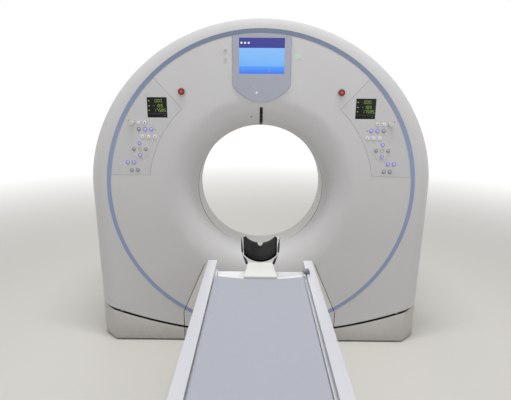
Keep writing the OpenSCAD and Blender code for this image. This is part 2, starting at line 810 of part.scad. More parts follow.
module cradle() color("ivory")
    translate([0, cradle_far, 0]) rotate([90, 0, 0]) linear_extrude(cradle_l) cradle_2d();

// The mat follows the trough and lies a little to the left
module mat() color("lavender")
    translate([0, cradle_far - mat_back, 0]) rotate([90, 0, 0]) linear_extrude(cradle_l - mat_back - 30)
        intersection() {
            translate([-mat_shift - mat_w / 2, cradle_edge_z - 60]) square([mat_w, 120]);
            difference() {
                translate([0, cradle_edge_z - cradle_sag + cradle_top_r]) circle(cradle_top_r, $fn = SMOOTH);
                translate([0, cradle_edge_z - cradle_sag + cradle_top_r]) circle(cradle_top_r - mat_t, $fn = SMOOTH);
            }
        }

module along_trough(y0, y1) translate([0, y1, trough_z]) rotate([90, 0, 0]) linear_extrude(y1 - y0) children();

// The trough's rim rises gently from the neck to the far end
module trough_cut() translate([0, trough_y0, trough_floor + rim_rise])
    rotate([rim_slope, 0, 0]) translate([-200, -200, 0]) cube([400, 800, 300]);

// One end of the neck: a thin slab across it
module neck_slab(half, y, z0, z1) translate([-half, y, z0]) cube([2 * half, 2, z1 - z0]);

module head_holder() color("ivory") {
    difference() {
        along_trough(trough_y0, trough_y1) difference() {
            circle(head_r);
            circle(head_r - holder_t);
        }
        trough_cut();
    }
    difference() {
        union() {
            hull() {
                neck_slab(neck_wide, holder_y, holder_z, holder_z + neck_top);
                neck_slab(neck_narrow, trough_y0 - 2, holder_z + 6, trough_floor - 3);
            }
            translate([-neck_narrow, trough_y0 - EPS, holder_z + 6])
                cube([2 * neck_narrow, 50, trough_floor + 8 - holder_z - 6]);
        }
        along_trough(trough_y0 - EPS, trough_y1) circle(head_r - holder_t);
        translate([0, cradle_far + EPS, 0]) rotate([90, 0, 0]) linear_extrude(cradle_l) cradle_2d();
    }
}

module head_pad() color("black") difference() {
    along_trough(trough_y0, trough_y1) difference() {
        circle(head_r - holder_t);
        circle(head_r - holder_t - pad_t);
    }
    trough_cut();
    translate([0, trough_y1, trough_floor - EPS]) cylinder(d = 36, h = 60);
}

// Straps that hug the trough's sides and stand up past its rim
module head_straps() color("black") both_sides() {
    rim = trough_floor + rim_rise + (strap_y + strap_w - trough_y0) * tan(rim_slope) - trough_z;
    rim_x = sqrt(pow(head_r + SEAT, 2) - rim * rim);
    along_trough(strap_y, strap_y + strap_w) {
        intersection() {
            ring_2d(head_r + SEAT, head_r + SEAT + strap_t);
            translate([strap_low, -2 * head_r]) square([head_r, 2 * head_r + rim + EPS]);
        }
        translate([rim_x, rim]) rotate(-4) square([strap_t, strap_high]);
    }
}

base_frame();
base_skirt();
tilt_motor();
tilt_frame();
outer_shell();
front_cover();
left_control_panel();
right_control_panel();
display_panel();
main_screen();
readouts();
lower_insert();
light_strip();
bore_liner();
laser_window();
indicator_lamps();
rear_cover();
bearing_outer_ring();
drive_motor();
drive_belt();
brush_block();
rotor_drum();
bearing_inner_ring();
xray_tube();
collimator();
high_voltage_unit();
oil_cooler();
detector();
slip_ring();
motor_pulley();
pedestal_cover();
middle_sleeve();
upper_sleeve();
lift_screw();
lift_motor();
table_frame();
table_tray();
side_rails();
rail_clip();
cradle_motor();
cradle_wheel();
cradle();
mat();
head_holder();
head_pad();
head_straps();
mirror([1, 0, 0]) stop_button();  // left_stop_button
stop_button();  // right_stop_button
mirror([1, 0, 0]) speed_knob();  // left_speed_knob
speed_knob();  // right_speed_knob
for (i = [1:5]) {
    mirror([1, 0, 0]) push_button(travel_buttons[i - 1]);
    push_button(travel_buttons[i - 1]);
}
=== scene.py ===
# %% [markdown]
# This file dresses a CT scanner: a tilting gantry with a round bore, and a patient
# table in front of it. The hard parts come from the CAD model and are loaded as they
# are. Blender adds the finishes, the soft pieces and the small printed and lit marks.

# %% Load the CAD frame
import json
import math

import bmesh
import bpy
from mathutils import Matrix, Vector


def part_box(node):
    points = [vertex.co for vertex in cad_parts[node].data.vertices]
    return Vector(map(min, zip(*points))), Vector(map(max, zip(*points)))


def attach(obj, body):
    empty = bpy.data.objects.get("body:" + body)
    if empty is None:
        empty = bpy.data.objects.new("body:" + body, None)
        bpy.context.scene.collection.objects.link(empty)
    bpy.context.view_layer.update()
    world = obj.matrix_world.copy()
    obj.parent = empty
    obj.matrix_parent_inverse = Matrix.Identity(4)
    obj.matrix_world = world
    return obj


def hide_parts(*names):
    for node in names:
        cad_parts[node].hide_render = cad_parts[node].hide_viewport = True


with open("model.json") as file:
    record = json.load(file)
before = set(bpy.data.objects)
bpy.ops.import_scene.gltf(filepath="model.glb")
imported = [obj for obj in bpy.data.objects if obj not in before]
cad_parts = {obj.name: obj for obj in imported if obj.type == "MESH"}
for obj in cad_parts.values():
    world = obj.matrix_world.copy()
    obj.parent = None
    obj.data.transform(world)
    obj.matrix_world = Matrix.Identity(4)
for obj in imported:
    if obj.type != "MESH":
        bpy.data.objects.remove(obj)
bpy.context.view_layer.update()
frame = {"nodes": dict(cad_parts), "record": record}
nodes = frame["nodes"]
GANTRY, CRADLE = "tilting_gantry", "sliding_cradle"
slot_of = {row["node"]: row["material_slot"] for row in frame["record"]["subparts"]}

# %% [markdown]
# The photograph was taken standing at the table's near end, looking slightly down.
# A camera is a place, a direction and a lens. The lens length is given for a sensor
# 36 mm wide, so a focal length in pixels becomes millimetres by the picture's width.

# %% Set the camera
PICTURE_W, FOCAL_PX, SENSOR_W = 511, 406.6, 36.0
CAMERA_PLACE = (-0.0155, -2.180, 1.4625)
PITCH, YAW, ROLL = math.radians(14.74), math.radians(0.30), math.radians(0.41)
camera = bpy.data.objects.new("camera", bpy.data.cameras.new("camera"))
bpy.context.scene.collection.objects.link(camera)
camera.data.sensor_width = SENSOR_W
camera.data.lens = FOCAL_PX / PICTURE_W * SENSOR_W
camera.matrix_world = (
    Matrix.Translation(CAMERA_PLACE)
    @ Matrix.Rotation(YAW, 4, "Z")
    @ Matrix.Rotation(math.pi / 2 - PITCH, 4, "X")
    @ Matrix.Rotation(ROLL, 4, "Z")
)
bpy.context.scene.camera = camera
print("lens", round(camera.data.lens, 2), "mm")

# %% [markdown]
# Node groups are small machines with named inputs and outputs. These helpers build
# them without repeating the same lines: one makes a group with its sockets, one adds
# a node with its settings, and one adds a piece of arithmetic. The others are short
# combinations that most finishes here use.

# %% Helpers for node groups
SOCKETS = {"color": "NodeSocketColor", "value": "NodeSocketFloat", "vector": "NodeSocketVector"}


def new_group(name, outputs, inputs=None):
    """A group that is given a Position. inputs: {name: (kind, default)}, outputs: {name: kind}.

    Returns the tree, the sockets that bring values in and those that take them out.
    """
    tree = bpy.data.node_groups.new(name, "ShaderNodeTree")
    tree.interface.new_socket("Position", in_out="INPUT", socket_type=SOCKETS["vector"])
    for label, (kind, value) in (inputs or {}).items():
        socket = tree.interface.new_socket(label, in_out="INPUT", socket_type=SOCKETS[kind])
        socket.default_value = value
    for label, kind in outputs.items():
        tree.interface.new_socket(label, in_out="OUTPUT", socket_type=SOCKETS[kind])
    return tree, tree.nodes.new("NodeGroupInput").outputs, tree.nodes.new("NodeGroupOutput").inputs


def plug(tree, source, target):
    """Joins source to an input socket, or sets the input if source is a plain value."""
    if isinstance(source, bpy.types.NodeSocket):
        tree.links.new(source, target)
    else:
        target.default_value = source


def add(tree, kind, settings=None, **inputs):
    """Adds a node. Input names are written with _ for a space."""
    made = tree.nodes.new(kind)
    for key, value in (settings or {}).items():
        setattr(made, key, value)
    for key, source in inputs.items():
        plug(tree, source, made.inputs[key.replace("_", " ")])
    return made


def sum_of(tree, operation, *terms):
    """One Math node, and its result."""
    made = add(tree, "ShaderNodeMath", {"operation": operation})
    for i, term in enumerate(terms):
        plug(tree, term, made.inputs[i])
    return made.outputs[0]


def blend_colour(tree, share, first, second, how="MIX"):
    """Mixes two colours by share."""
    made = add(tree, "ShaderNodeMix", {"data_type": "RGBA", "blend_type": how})
    plug(tree, share, made.inputs[0])
    plug(tree, first, made.inputs[6])
    plug(tree, second, made.inputs[7])
    return made.outputs[2]


def split(tree, given, axes):
    """The coordinates named in axes of the position that a group is given."""
    place = add(tree, "ShaderNodeSeparateXYZ", Vector=given["Position"])
    return [place.outputs[axis] for axis in axes]


def noise(tree, given, scale, detail):
    """Cloudy noise by position, about 0.5 on average."""
    cloud = add(tree, "ShaderNodeTexNoise", Vector=given["Position"], Scale=scale, Detail=detail)
    return cloud.outputs["Fac"]


def tinted(tree, colour, tone):
    """A colour made darker or lighter by tone, which is 1 for no change."""
    grey = add(tree, "ShaderNodeCombineColor", Red=tone, Green=tone, Blue=tone)
    return blend_colour(tree, 1.0, colour, grey.outputs[0], "MULTIPLY")


def ramp(tree, value, low, high, top=1.0):
    """Rises from 0 at low to top at high."""
    rise = add(tree, "ShaderNodeMapRange", Value=value, From_Min=low, From_Max=high, To_Max=top)
    return rise.outputs["Result"]


print("helpers ready")

# %% [markdown]
# A studio needs a floor, a soft sky and a few lamps. Large lamps give soft shadows, and
# a narrow row high up makes the funnel's lower half glow, as ceiling lights do. The
# white backdrop is only what the camera, mirrors and glass see: the light on the object
# stays at a plain level, so colours come out about as they are written.

# %% Light the studio
SKY_COLOUR, SKY_STRENGTH = (0.97, 0.98, 1.0, 1), 0.43
LAMPS = {
    # name: place, target, size, watts
    "ceiling_lamp": ((0.5, -1.8, 3.8), (0, -0.6, 0.6), (4.2, 2.4), 20),
    "row_lamp": ((0.0, -0.7, 5.5), (0, -0.6, 0), (3.0, 0.5), 130),
    "front_lamp": ((1.6, -4.8, 2.6), (0, 0, 1.0), (3.0, 2.0), 15),
    "back_lamp": ((-1.0, 4.5, 3.0), (0, 0.5, 1.0), (3.0, 2.5), 34),
}
for name, (place, target, size, watts) in LAMPS.items():
    data = bpy.data.lights.new(name, "AREA")
    data.shape = "RECTANGLE"
    data.size, data.size_y = size
    data.energy = watts
    lamp = bpy.data.objects.new(name, data)
    lamp.location = place
    lamp.rotation_euler = (Vector(target) - Vector(place)).to_track_quat("-Z", "Y").to_euler()
    bpy.context.scene.collection.objects.link(lamp)

world = bpy.data.worlds.new("studio")
world.use_nodes = True
bpy.context.scene.world = world
sky = world.node_tree
sky.nodes.clear()
rays = add(sky, "ShaderNodeLightPath")
seen = sum_of(sky, "MAXIMUM", rays.outputs["Is Camera Ray"], rays.outputs["Is Glossy Ray"])
seen = sum_of(sky, "MAXIMUM", seen, rays.outputs["Is Transmission Ray"])
soft_sky = add(sky, "ShaderNodeBackground", Color=SKY_COLOUR, Strength=SKY_STRENGTH)
white_sky = add(sky, "ShaderNodeBackground", Color=(1, 1, 1, 1), Strength=1.0)
sky_mix = add(sky, "ShaderNodeMixShader", Fac=seen)
plug(sky, soft_sky.outputs[0], sky_mix.inputs[1])
plug(sky, white_sky.outputs[0], sky_mix.inputs[2])
add(sky, "ShaderNodeOutputWorld", Surface=sky_mix.outputs[0])
bpy.context.scene.view_settings.view_transform = "Standard"
print(len(LAMPS), "lamps and a soft sky")

# %% [markdown]
# Every moulded or painted cover has two things that a flat colour lacks: a fine skin,
# like an orange's, that breaks up the highlight, and slow changes of tone where it has
# been handled and wiped. Both come from noise at two very different scales.

# %% Build the moulded skin
SURFACE = {"Colour": "color", "Roughness": "value", "Height": "value"}


def build_moulded_skin():
    tree, given, out = new_group("moulded_skin", SURFACE, {
        "Colour": ("color", (0.8, 0.8, 0.8, 1)), "Tone": ("value", 0.06),
        "Grain": ("value", 900.0), "Roughness": ("value", 0.4),
    })
    slow = noise(tree, given, 2.3, 3.0)
    wiped = sum_of(tree, "SUBTRACT", noise(tree, given, 19.0, 5.0), 0.5)
    fine = noise(tree, given, given["Grain"], 2.0)
    swing = sum_of(tree, "MULTIPLY_ADD", wiped, 0.4, sum_of(tree, "SUBTRACT", slow, 0.5))
    tone = sum_of(tree, "MULTIPLY_ADD", swing, given["Tone"], 1.0)
    plug(tree, tinted(tree, given["Colour"], tone), out["Colour"])
    plug(tree, sum_of(tree, "MULTIPLY_ADD", wiped, 0.18, given["Roughness"]), out["Roughness"])
    plug(tree, fine, out["Height"])
    return tree


moulded_skin = build_moulded_skin()
print("moulded_skin:", len(moulded_skin.nodes), "nodes")

# %% [markdown]
# Covers near the floor turn darker and browner in patches. The patches are a mask: noise
# that is let through only near the floor, and fades out with height.

# %% Build the floor patches
def build_floor_patches():
    tree, given, out = new_group("floor_patches", {"Mask": "value"},
                                 {"Top": ("value", 0.16), "Strength": ("value", 0.5)})
    z = split(tree, given, "Z")[0]
    near = sum_of(tree, "SUBTRACT", 1.0, sum_of(tree, "DIVIDE", z, given["Top"]))
    near = sum_of(tree, "POWER", sum_of(tree, "MAXIMUM", near, 0.0), 1.6)
    marks = sum_of(tree, "MULTIPLY", noise(tree, given, 34.0, 7.0), near)
    plug(tree, sum_of(tree, "MULTIPLY", marks, given["Strength"]), out["Mask"])
    return tree


floor_patches = build_floor_patches()
print("floor_patches:", len(floor_patches.nodes), "nodes")

# %% [markdown]
# The joint beside the lower insert is painted as a dark line, from the face down over the
# skirt: painted shade standing for the narrow gap. The line is a mask: how far a point
# lies from a slanted line that turns upright at INSERT_X. A small screw hole beside the
# bore is part of it, and so is the joint where the funnel meets the bore tube: painted
# shade there, dark over its upper part and fading out below.

# %% Build the face lines of painted shade
ISO = 0.93
INSERT_TOP, INSERT_X, INSERT_SLOPE, JOINT_HALF = (0.318, 0.504), 0.450, 0.4286, 0.0022
SCREW_HOLE, SCREW_HOLE_R = (-0.053, 1.340), 0.0034
BORE_JOINT_R, BORE_JOINT_FADE, BORE_JOINT_SHADE = 0.3616, (0.58, 0.74), 0.8
FACE_DEPTH, FUNNEL_DEPTH = 0.006, 0.15


def inside_disc(tree, x, z, centre, radius):
    """A mask that is 1 inside a disc on the face."""
    across = sum_of(tree, "POWER", sum_of(tree, "SUBTRACT", x, centre[0]), 2.0)
    up = sum_of(tree, "POWER", sum_of(tree, "SUBTRACT", z, centre[1]), 2.0)
    return sum_of(tree, "LESS_THAN", sum_of(tree, "ADD", across, up), radius * radius)


def build_face_shade_lines():
    tree, given, out = new_group("face_shade_lines", {"Mask": "value"})
    x, y, z = split(tree, given, "XYZ")
    below = sum_of(tree, "SUBTRACT", INSERT_TOP[1], z)
    slanted = sum_of(tree, "MULTIPLY_ADD", below, INSERT_SLOPE, INSERT_TOP[0])
    line_x = sum_of(tree, "MINIMUM", slanted, INSERT_X)
    off = sum_of(tree, "SUBTRACT", sum_of(tree, "ABSOLUTE", x), line_x)
    # Painted shade: the narrow gap beside the insert, drawn as a dark line.
    mask = sum_of(tree, "LESS_THAN", sum_of(tree, "ABSOLUTE", off), JOINT_HALF)
    mask = sum_of(tree, "MULTIPLY", mask, sum_of(tree, "GREATER_THAN", below, 0.0))
    mask = sum_of(tree, "MULTIPLY", mask, sum_of(tree, "LESS_THAN", y, FACE_DEPTH))
    hole = inside_disc(tree, x, z, SCREW_HOLE, SCREW_HOLE_R)
    hole = sum_of(tree, "MULTIPLY", hole, sum_of(tree, "LESS_THAN", y, FUNNEL_DEPTH))
    # Painted shade: the bore joint, dark over its upper part and fading out below.
    rim = inside_disc(tree, x, z, (0.0, ISO), BORE_JOINT_R)
    rim = sum_of(tree, "MULTIPLY", rim, ramp(tree, z, *BORE_JOINT_FADE, BORE_JOINT_SHADE))
    mask = sum_of(tree, "MAXIMUM", sum_of(tree, "MAXIMUM", mask, hole), rim)
    plug(tree, mask, out["Mask"])
    return tree


face_shade_lines = build_face_shade_lines()
print("face_shade_lines:", len(face_shade_lines.nodes), "nodes")

# %% [markdown]
# Machined and drawn metal shows fine parallel lines. Noise that is squeezed hard along
# one direction gives them, and the same lines drive colour, roughness and height.

# %% Build the drawn metal
SQUEEZE = (40.0, 4.0, 900.0)


def build_drawn_metal():
    tree, given, out = new_group("drawn_metal", SURFACE, {
        "Colour": ("color", (0.6, 0.6, 0.6, 1)), "Roughness": ("value", 0.35),
    })
    squeezed = add(tree, "ShaderNodeVectorMath", {"operation": "MULTIPLY"})
    plug(tree, given["Position"], squeezed.inputs[0])
    squeezed.inputs[1].default_value = SQUEEZE
    lines = add(tree, "ShaderNodeTexNoise", Vector=squeezed.outputs[0], Scale=1.0, Detail=3.0).outputs["Fac"]
    tone = sum_of(tree, "MULTIPLY_ADD", lines, 0.24, 0.88)
    plug(tree, tinted(tree, given["Colour"], tone), out["Colour"])
    plug(tree, sum_of(tree, "MULTIPLY_ADD", lines, 0.2, given["Roughness"]), out["Roughness"])
    plug(tree, lines, out["Height"])
    return tree


drawn_metal = build_drawn_metal()
print("drawn_metal:", len(drawn_metal.nodes), "nodes")

# %% [markdown]
# The mat's cover and the straps are woven. Two sets of waves, one across the other,
# stand for warp and weft. Where the first is high the thread lies on top, so their
# larger value is the height, and the low spots between threads are painted a little
# darker, as painted shade.

# %% Build the weave
def build_weave():
    tree, given, out = new_group("weave", SURFACE, {
        "Colour": ("color", (0.5, 0.5, 0.6, 1)), "Threads": ("value", 700.0), "Depth": ("value", 0.3),
    })
    x, y = split(tree, given, "XY")
    turns = sum_of(tree, "MULTIPLY", given["Threads"], math.tau)
    warp = sum_of(tree, "SINE", sum_of(tree, "MULTIPLY", x, turns))
    weft = sum_of(tree, "SINE", sum_of(tree, "MULTIPLY", y, turns))
    high = sum_of(tree, "MULTIPLY_ADD", sum_of(tree, "MAXIMUM", warp, weft), 0.5, 0.5)
    slub = sum_of(tree, "SUBTRACT", noise(tree, given, 60.0, 4.0), 0.5)
    # Painted shade: the low spots between threads are darker.
    tone = sum_of(tree, "MULTIPLY_ADD", sum_of(tree, "SUBTRACT", high, 0.7), given["Depth"], 1.0)
    tone = sum_of(tree, "MULTIPLY_ADD", slub, 0.07, tone)
    plug(tree, tinted(tree, given["Colour"], tone), out["Colour"])
    plug(tree, sum_of(tree, "MULTIPLY_ADD", high, -0.08, 0.80), out["Roughness"])
    plug(tree, high, out["Height"])
    return tree


weave = build_weave()
print("weave:", len(weave.nodes), "nodes")

# %% [markdown]
# The head rest is covered in black leathercloth. Its pebbles are the cells of a
# Voronoi pattern: the distance to the nearest cell edge is low in the creases, and the
# creases are painted darker, as painted shade.

# %% Build the pebbled cover
def build_pebbles():
    tree, given, out = new_group("pebbles", SURFACE, {
        "Colour": ("color", (0.03, 0.03, 0.03, 1)), "Size": ("value", 420.0),
    })
    cells = add(tree, "ShaderNodeTexVoronoi", {"feature": "DISTANCE_TO_EDGE"},
                Vector=given["Position"], Scale=given["Size"])
    crown = sum_of(tree, "MINIMUM", sum_of(tree, "MULTIPLY", cells.outputs["Distance"], 3.0), 1.0)
    rub = noise(tree, given, 26.0, 4.0)
    # Painted shade: darker in the creases, with random rubbed tone on top.
    shade = sum_of(tree, "MULTIPLY_ADD", crown, 0.35, 0.7)
    shade = sum_of(tree, "MULTIPLY_ADD", sum_of(tree, "SUBTRACT", rub, 0.5), 0.5, shade)
    plug(tree, tinted(tree, given["Colour"], shade), out["Colour"])
    plug(tree, sum_of(tree, "MULTIPLY_ADD", rub, 0.25, 0.42), out["Roughness"])
    plug(tree, crown, out["Height"])
    return tree


pebbles = build_pebbles()
print("pebbles:", len(pebbles.nodes), "nodes")

# %% [markdown]
# One function turns a group into a finished material. The group gives colour,
# roughness and height. The shader itself, the bump and every value that is the same
# all over the surface stay in the material.

# %% Materials from groups
BUMP_STRENGTH, BUMP_DEPTH = 0.3, 0.0001
PATCH_BROWN, JOINT_SHADE_DARK = (0.12, 0.10, 0.08, 1.0), (0.07, 0.065, 0.06, 1.0)


def new_material(name):
    """A material with its node tree and its shader."""
    made = bpy.data.materials.new(name)
    made.use_nodes = True
    return made, made.node_tree, made.node_tree.nodes["Principled BSDF"]


def place_group(tree, group, **values):
    """Puts a group in a material, where it is given the position on the object."""
    where = tree.nodes.get("Texture Coordinate") or add(tree, "ShaderNodeTexCoord")
    made = add(tree, "ShaderNodeGroup", {"node_tree": group}, **values)
    plug(tree, where.outputs["Object"], made.inputs["Position"])
    return made


def finish_material(name, group, values, patches=0.0, lines=False, **fixed):
    """A material whose surface comes from group. fixed: Principled inputs set directly."""
    made, tree, shader = new_material(name)
    surface = place_group(tree, group)
    for label, value in values.items():
        surface.inputs[label].default_value = (*value, 1.0) if label == "Colour" else value
    colour = surface.outputs["Colour"]
    if patches:
        marks = place_group(tree, floor_patches, Strength=patches)
        colour = blend_colour(tree, marks.outputs["Mask"], colour, PATCH_BROWN)
    if lines:
        joint = place_group(tree, face_shade_lines)
        colour = blend_colour(tree, joint.outputs["Mask"], colour, JOINT_SHADE_DARK)
    plug(tree, colour, shader.inputs["Base Color"])
    plug(tree, surface.outputs["Roughness"], shader.inputs["Roughness"])
    relief = add(tree, "ShaderNodeBump", Height=surface.outputs["Height"],
                 Strength=BUMP_STRENGTH, Distance=BUMP_DEPTH)
    plug(tree, relief.outputs["Normal"], shader.inputs["Normal"])
    for label, value in fixed.items():
        shader.inputs[label.replace("_", " ")].default_value = value
    return made


WARM_WHITE = (0.605, 0.597, 0.595)
FINISHES = {
    "cover_white": (moulded_skin, {"Colour": WARM_WHITE, "Roughness": 0.38}, {}),
    "panel_white": (moulded_skin, {"Colour": (0.585, 0.575, 0.58), "Roughness": 0.45}, {}),
    "insert_beige": (moulded_skin, {"Colour": (0.74, 0.71, 0.68), "Roughness": 0.45}, {}),
    "shield_lavender": (moulded_skin, {"Colour": (0.385, 0.402, 0.47), "Roughness": 0.25}, {}),
    "strip_blue": (moulded_skin, {"Colour": (0.275, 0.335, 0.51), "Roughness": 0.42}, {}),
    "liner_beige": (moulded_skin, {"Colour": (0.66, 0.65, 0.61), "Roughness": 0.5}, {}),
    "window_black": (moulded_skin, {"Colour": (0.008, 0.008, 0.010), "Roughness": 0.30},
                     {"Specular_IOR_Level": 0.2}),
    "button_white": (moulded_skin, {"Colour": (0.74, 0.73, 0.76), "Roughness": 0.35}, {}),
    "stop_red": (moulded_skin, {"Colour": (0.55, 0.035, 0.03), "Roughness": 0.25},
                 {"Specular_IOR_Level": 0.3}),
    "frame_steel": (moulded_skin, {"Colour": (0.16, 0.165, 0.175), "Roughness": 0.5, "Grain": 300.0}, {}),
    "motor_grey": (moulded_skin, {"Colour": (0.22, 0.25, 0.29), "Roughness": 0.5, "Grain": 300.0}, {}),
    "unit_grey": (moulded_skin, {"Colour": (0.50, 0.52, 0.55), "Roughness": 0.45}, {}),
    "tube_gold": (moulded_skin, {"Colour": (0.58, 0.45, 0.24), "Roughness": 0.4}, {}),
    "detector_blue": (moulded_skin, {"Colour": (0.28, 0.38, 0.52), "Roughness": 0.45}, {}),
    "rail_white": (moulded_skin, {"Colour": (0.625, 0.625, 0.66), "Roughness": 0.36}, {}),
    "tray_white": (moulded_skin, {"Colour": (0.64, 0.64, 0.65), "Roughness": 0.42}, {}),
    "cradle_ivory": (moulded_skin, {"Colour": (0.76, 0.765, 0.73), "Roughness": 0.35}, {}),
    "clip_grey": (moulded_skin, {"Colour": (0.17, 0.17, 0.21), "Roughness": 0.5}, {}),
    "belt_rubber": (moulded_skin, {"Colour": (0.03, 0.03, 0.03), "Roughness": 0.75}, {}),
    "bearing_steel": (drawn_metal, {"Colour": (0.56, 0.57, 0.59), "Roughness": 0.26}, {"Metallic": 1.0}),
    "cast_aluminium": (drawn_metal, {"Colour": (0.66, 0.67, 0.69), "Roughness": 0.38}, {"Metallic": 1.0}),
    "copper_track": (drawn_metal, {"Colour": (0.72, 0.43, 0.26), "Roughness": 0.3}, {"Metallic": 1.0}),
    "mat_lavender": (weave, {"Colour": (0.392, 0.406, 0.458), "Threads": 520.0}, {"Sheen_Weight": 0.25}),
    "strap_black": (weave, {"Colour": (0.035, 0.035, 0.04), "Threads": 480.0}, {"Sheen_Weight": 0.3}),
    "pad_black": (pebbles, {"Colour": (0.006, 0.006, 0.006)}, {"Specular_IOR_Level": 0.05}),
}
WITH_LINES = ("cover_white", "insert_beige", "strip_blue")
materials = {}
for name, (group, values, fixed) in FINISHES.items():
    materials[name] = finish_material(name, group, values, lines=name in WITH_LINES, **fixed)
strap_white = finish_material("strap_white", weave, {"Colour": (0.70, 0.70, 0.70), "Threads": 480.0})
knob_grey = finish_material("knob_grey", moulded_skin, {"Colour": (0.62, 0.61, 0.59), "Roughness": 0.4})
skirt_white = finish_material("skirt_white", moulded_skin,
                              {"Colour": (0.555, 0.535, 0.51), "Roughness": 0.42}, patches=0.35, lines=True)
print(len(materials), "materials")

# %% [markdown]
# Three finishes change over their piece. The laser slot has three paler spots. The blue
# strip lies deeper at the top and is painted darker there, as painted shade. An emergency
# stop is red in the middle, with a painted highlight as a paler spot, and painted shade
# darkening it towards its rim. Each change is a group that takes the finished colour and
# puts out a new one, placed between that colour and the shader.

# %% Repaint three finishes
WINDOW_STEPS, STEP_R = (1.378, 1.352, 1.333), 0.0045
STRIP_SHADE_FADE = (1.25, 1.74)
STOP_AT, STOP_RED_R, STOP_HIGHLIGHT_R = (0.414, 1.467), 0.0118, 0.0040


def window_steps(tree, given, x, z):
    colour = given["Colour"]
    for step_z in WINDOW_STEPS:
        step = inside_disc(tree, x, z, (0.0, step_z), STEP_R)
        colour = blend_colour(tree, step, colour, (0.055, 0.05, 0.052, 1))
    return colour


def strip_painted_shade(tree, given, x, z):
    # Painted shade: the strip turns darker towards the top, where it lies deeper.
    return blend_colour(tree, ramp(tree, z, *STRIP_SHADE_FADE), given["Colour"], (0.175, 0.215, 0.30, 1))


def stop_cap(tree, given, x, z):
    x = sum_of(tree, "ABSOLUTE", x)
    # Painted shade: dark red towards the cap's rim.
    rim = blend_colour(tree, noise(tree, given, 300.0, 2.0), (0.07, 0.016, 0.014, 1), (0.14, 0.03, 0.026, 1))
    red = blend_colour(tree, inside_disc(tree, x, z, STOP_AT, STOP_RED_R), rim, (0.40, 0.032, 0.028, 1))
    # Painted highlight: a paler spot in the middle of the cap.
    return blend_colour(tree, inside_disc(tree, x, z, STOP_AT, STOP_HIGHLIGHT_R), red, (0.58, 0.17, 0.16, 1))


def repaint(name, change):
    """Lets change(tree, given, x, z) alter the base colour of a finished material."""
    group, given, out = new_group(f"{name}_paint", {"Colour": "color"}, {"Colour": ("color", (0, 0, 0, 1))})
    plug(group, change(group, given, *split(group, given, "XZ")), out["Colour"])
    tree = materials[name].node_tree
    base = tree.nodes["Principled BSDF"].inputs["Base Color"]
    paint = place_group(tree, group, Colour=base.links[0].from_socket)
    plug(tree, paint.outputs["Colour"], base)


repaint("window_black", window_steps)
repaint("strip_blue", strip_painted_shade)
repaint("stop_red", stop_cap)
print("slot, strip and stops repainted")

# %% [markdown]
# The main screen is drawn by arithmetic on the position: a dark blue band on top, a
# sky blue field, and a deeper blue foot, with a few plain dots where a menu would be.

# %% Draw the main screen
SCREEN_LOW, SCREEN_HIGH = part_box("main_screen")
FOOT_H, BAND_H = 0.036, 0.048
SCREEN_MARKS = [(x, -0.024, 0.0052, 0.9) for x in (-0.103, -0.085, -0.067)]
SCREEN_MARKS += [(-0.095, -0.158, 0.003, 0.3), (0.038, -0.158, 0.004, 0.3)]


def build_screen_picture():
    tree, given, out = new_group("screen_picture", {"Colour": "color"})
    x, z = split(tree, given, "XZ")
    top, foot_top = SCREEN_HIGH.z, SCREEN_LOW.z + FOOT_H
    field = ramp(tree, z, foot_top, top - BAND_H)
    sky_blue = blend_colour(tree, field, (0.16, 0.45, 0.98, 1), (0.25, 0.55, 1.0, 1))
    swirl = sum_of(tree, "MULTIPLY", noise(tree, given, 14.0, 1.0), 0.25)
    sky_blue = blend_colour(tree, swirl, sky_blue, (0.36, 0.62, 1.0, 1))
    foot = ramp(tree, z, SCREEN_LOW.z, foot_top)
    deep = blend_colour(tree, foot, (0.05, 0.20, 0.98, 1), (0.10, 0.38, 0.98, 1))
    picture = blend_colour(tree, sum_of(tree, "LESS_THAN", z, foot_top), sky_blue, deep)
    band = sum_of(tree, "GREATER_THAN", z, top - BAND_H)
    picture = blend_colour(tree, band, picture, (0.045, 0.05, 0.30, 1))
    for dot_x, dot_z, size, tint in SCREEN_MARKS:
        dot = inside_disc(tree, x, z, (dot_x, top + dot_z), size)
        picture = blend_colour(tree, dot, picture, (tint, tint, tint * 0.95, 1))
    plug(tree, picture, out["Colour"])
    return tree


def lit_material(name, group, strength, base=(0.02, 0.02, 0.03, 1.0)):
    """A glossy material that glows with the colours of group."""
    made, tree, shader = new_material(name)
    plug(tree, place_group(tree, group).outputs["Colour"], shader.inputs["Emission Color"])
    shader.inputs["Emission Strength"].default_value = strength
    shader.inputs["Base Color"].default_value = base
    shader.inputs["Roughness"].default_value = 0.30
    shader.inputs["Specular IOR Level"].default_value = 0.15
    return made


screen_picture = build_screen_picture()
materials["screen_blue"] = lit_material("screen_blue", screen_picture, 0.92)
print("screen_picture:", len(screen_picture.nodes), "nodes")

# %% [markdown]
# The small round lamps are one CAD node. Their colours differ by place: green on the
# right, two pale grey marks on the left, and a pinkish white one on the shield. All of
# them glow, so the two grey marks, which are unlit, carry painted light.

# %% Colour the small lamps
GREY_LAMPS = [(-0.1843, 1.667), (-0.1843, 1.624)]
GREEN_LAMP = (0.1834, 1.643)
GREY_MARK_R, GREEN_R, GREEN_MARK_R = 0.0066, 0.0085, 0.005
BLOT_LEVEL, SIDE_X = 0.46, 0.1


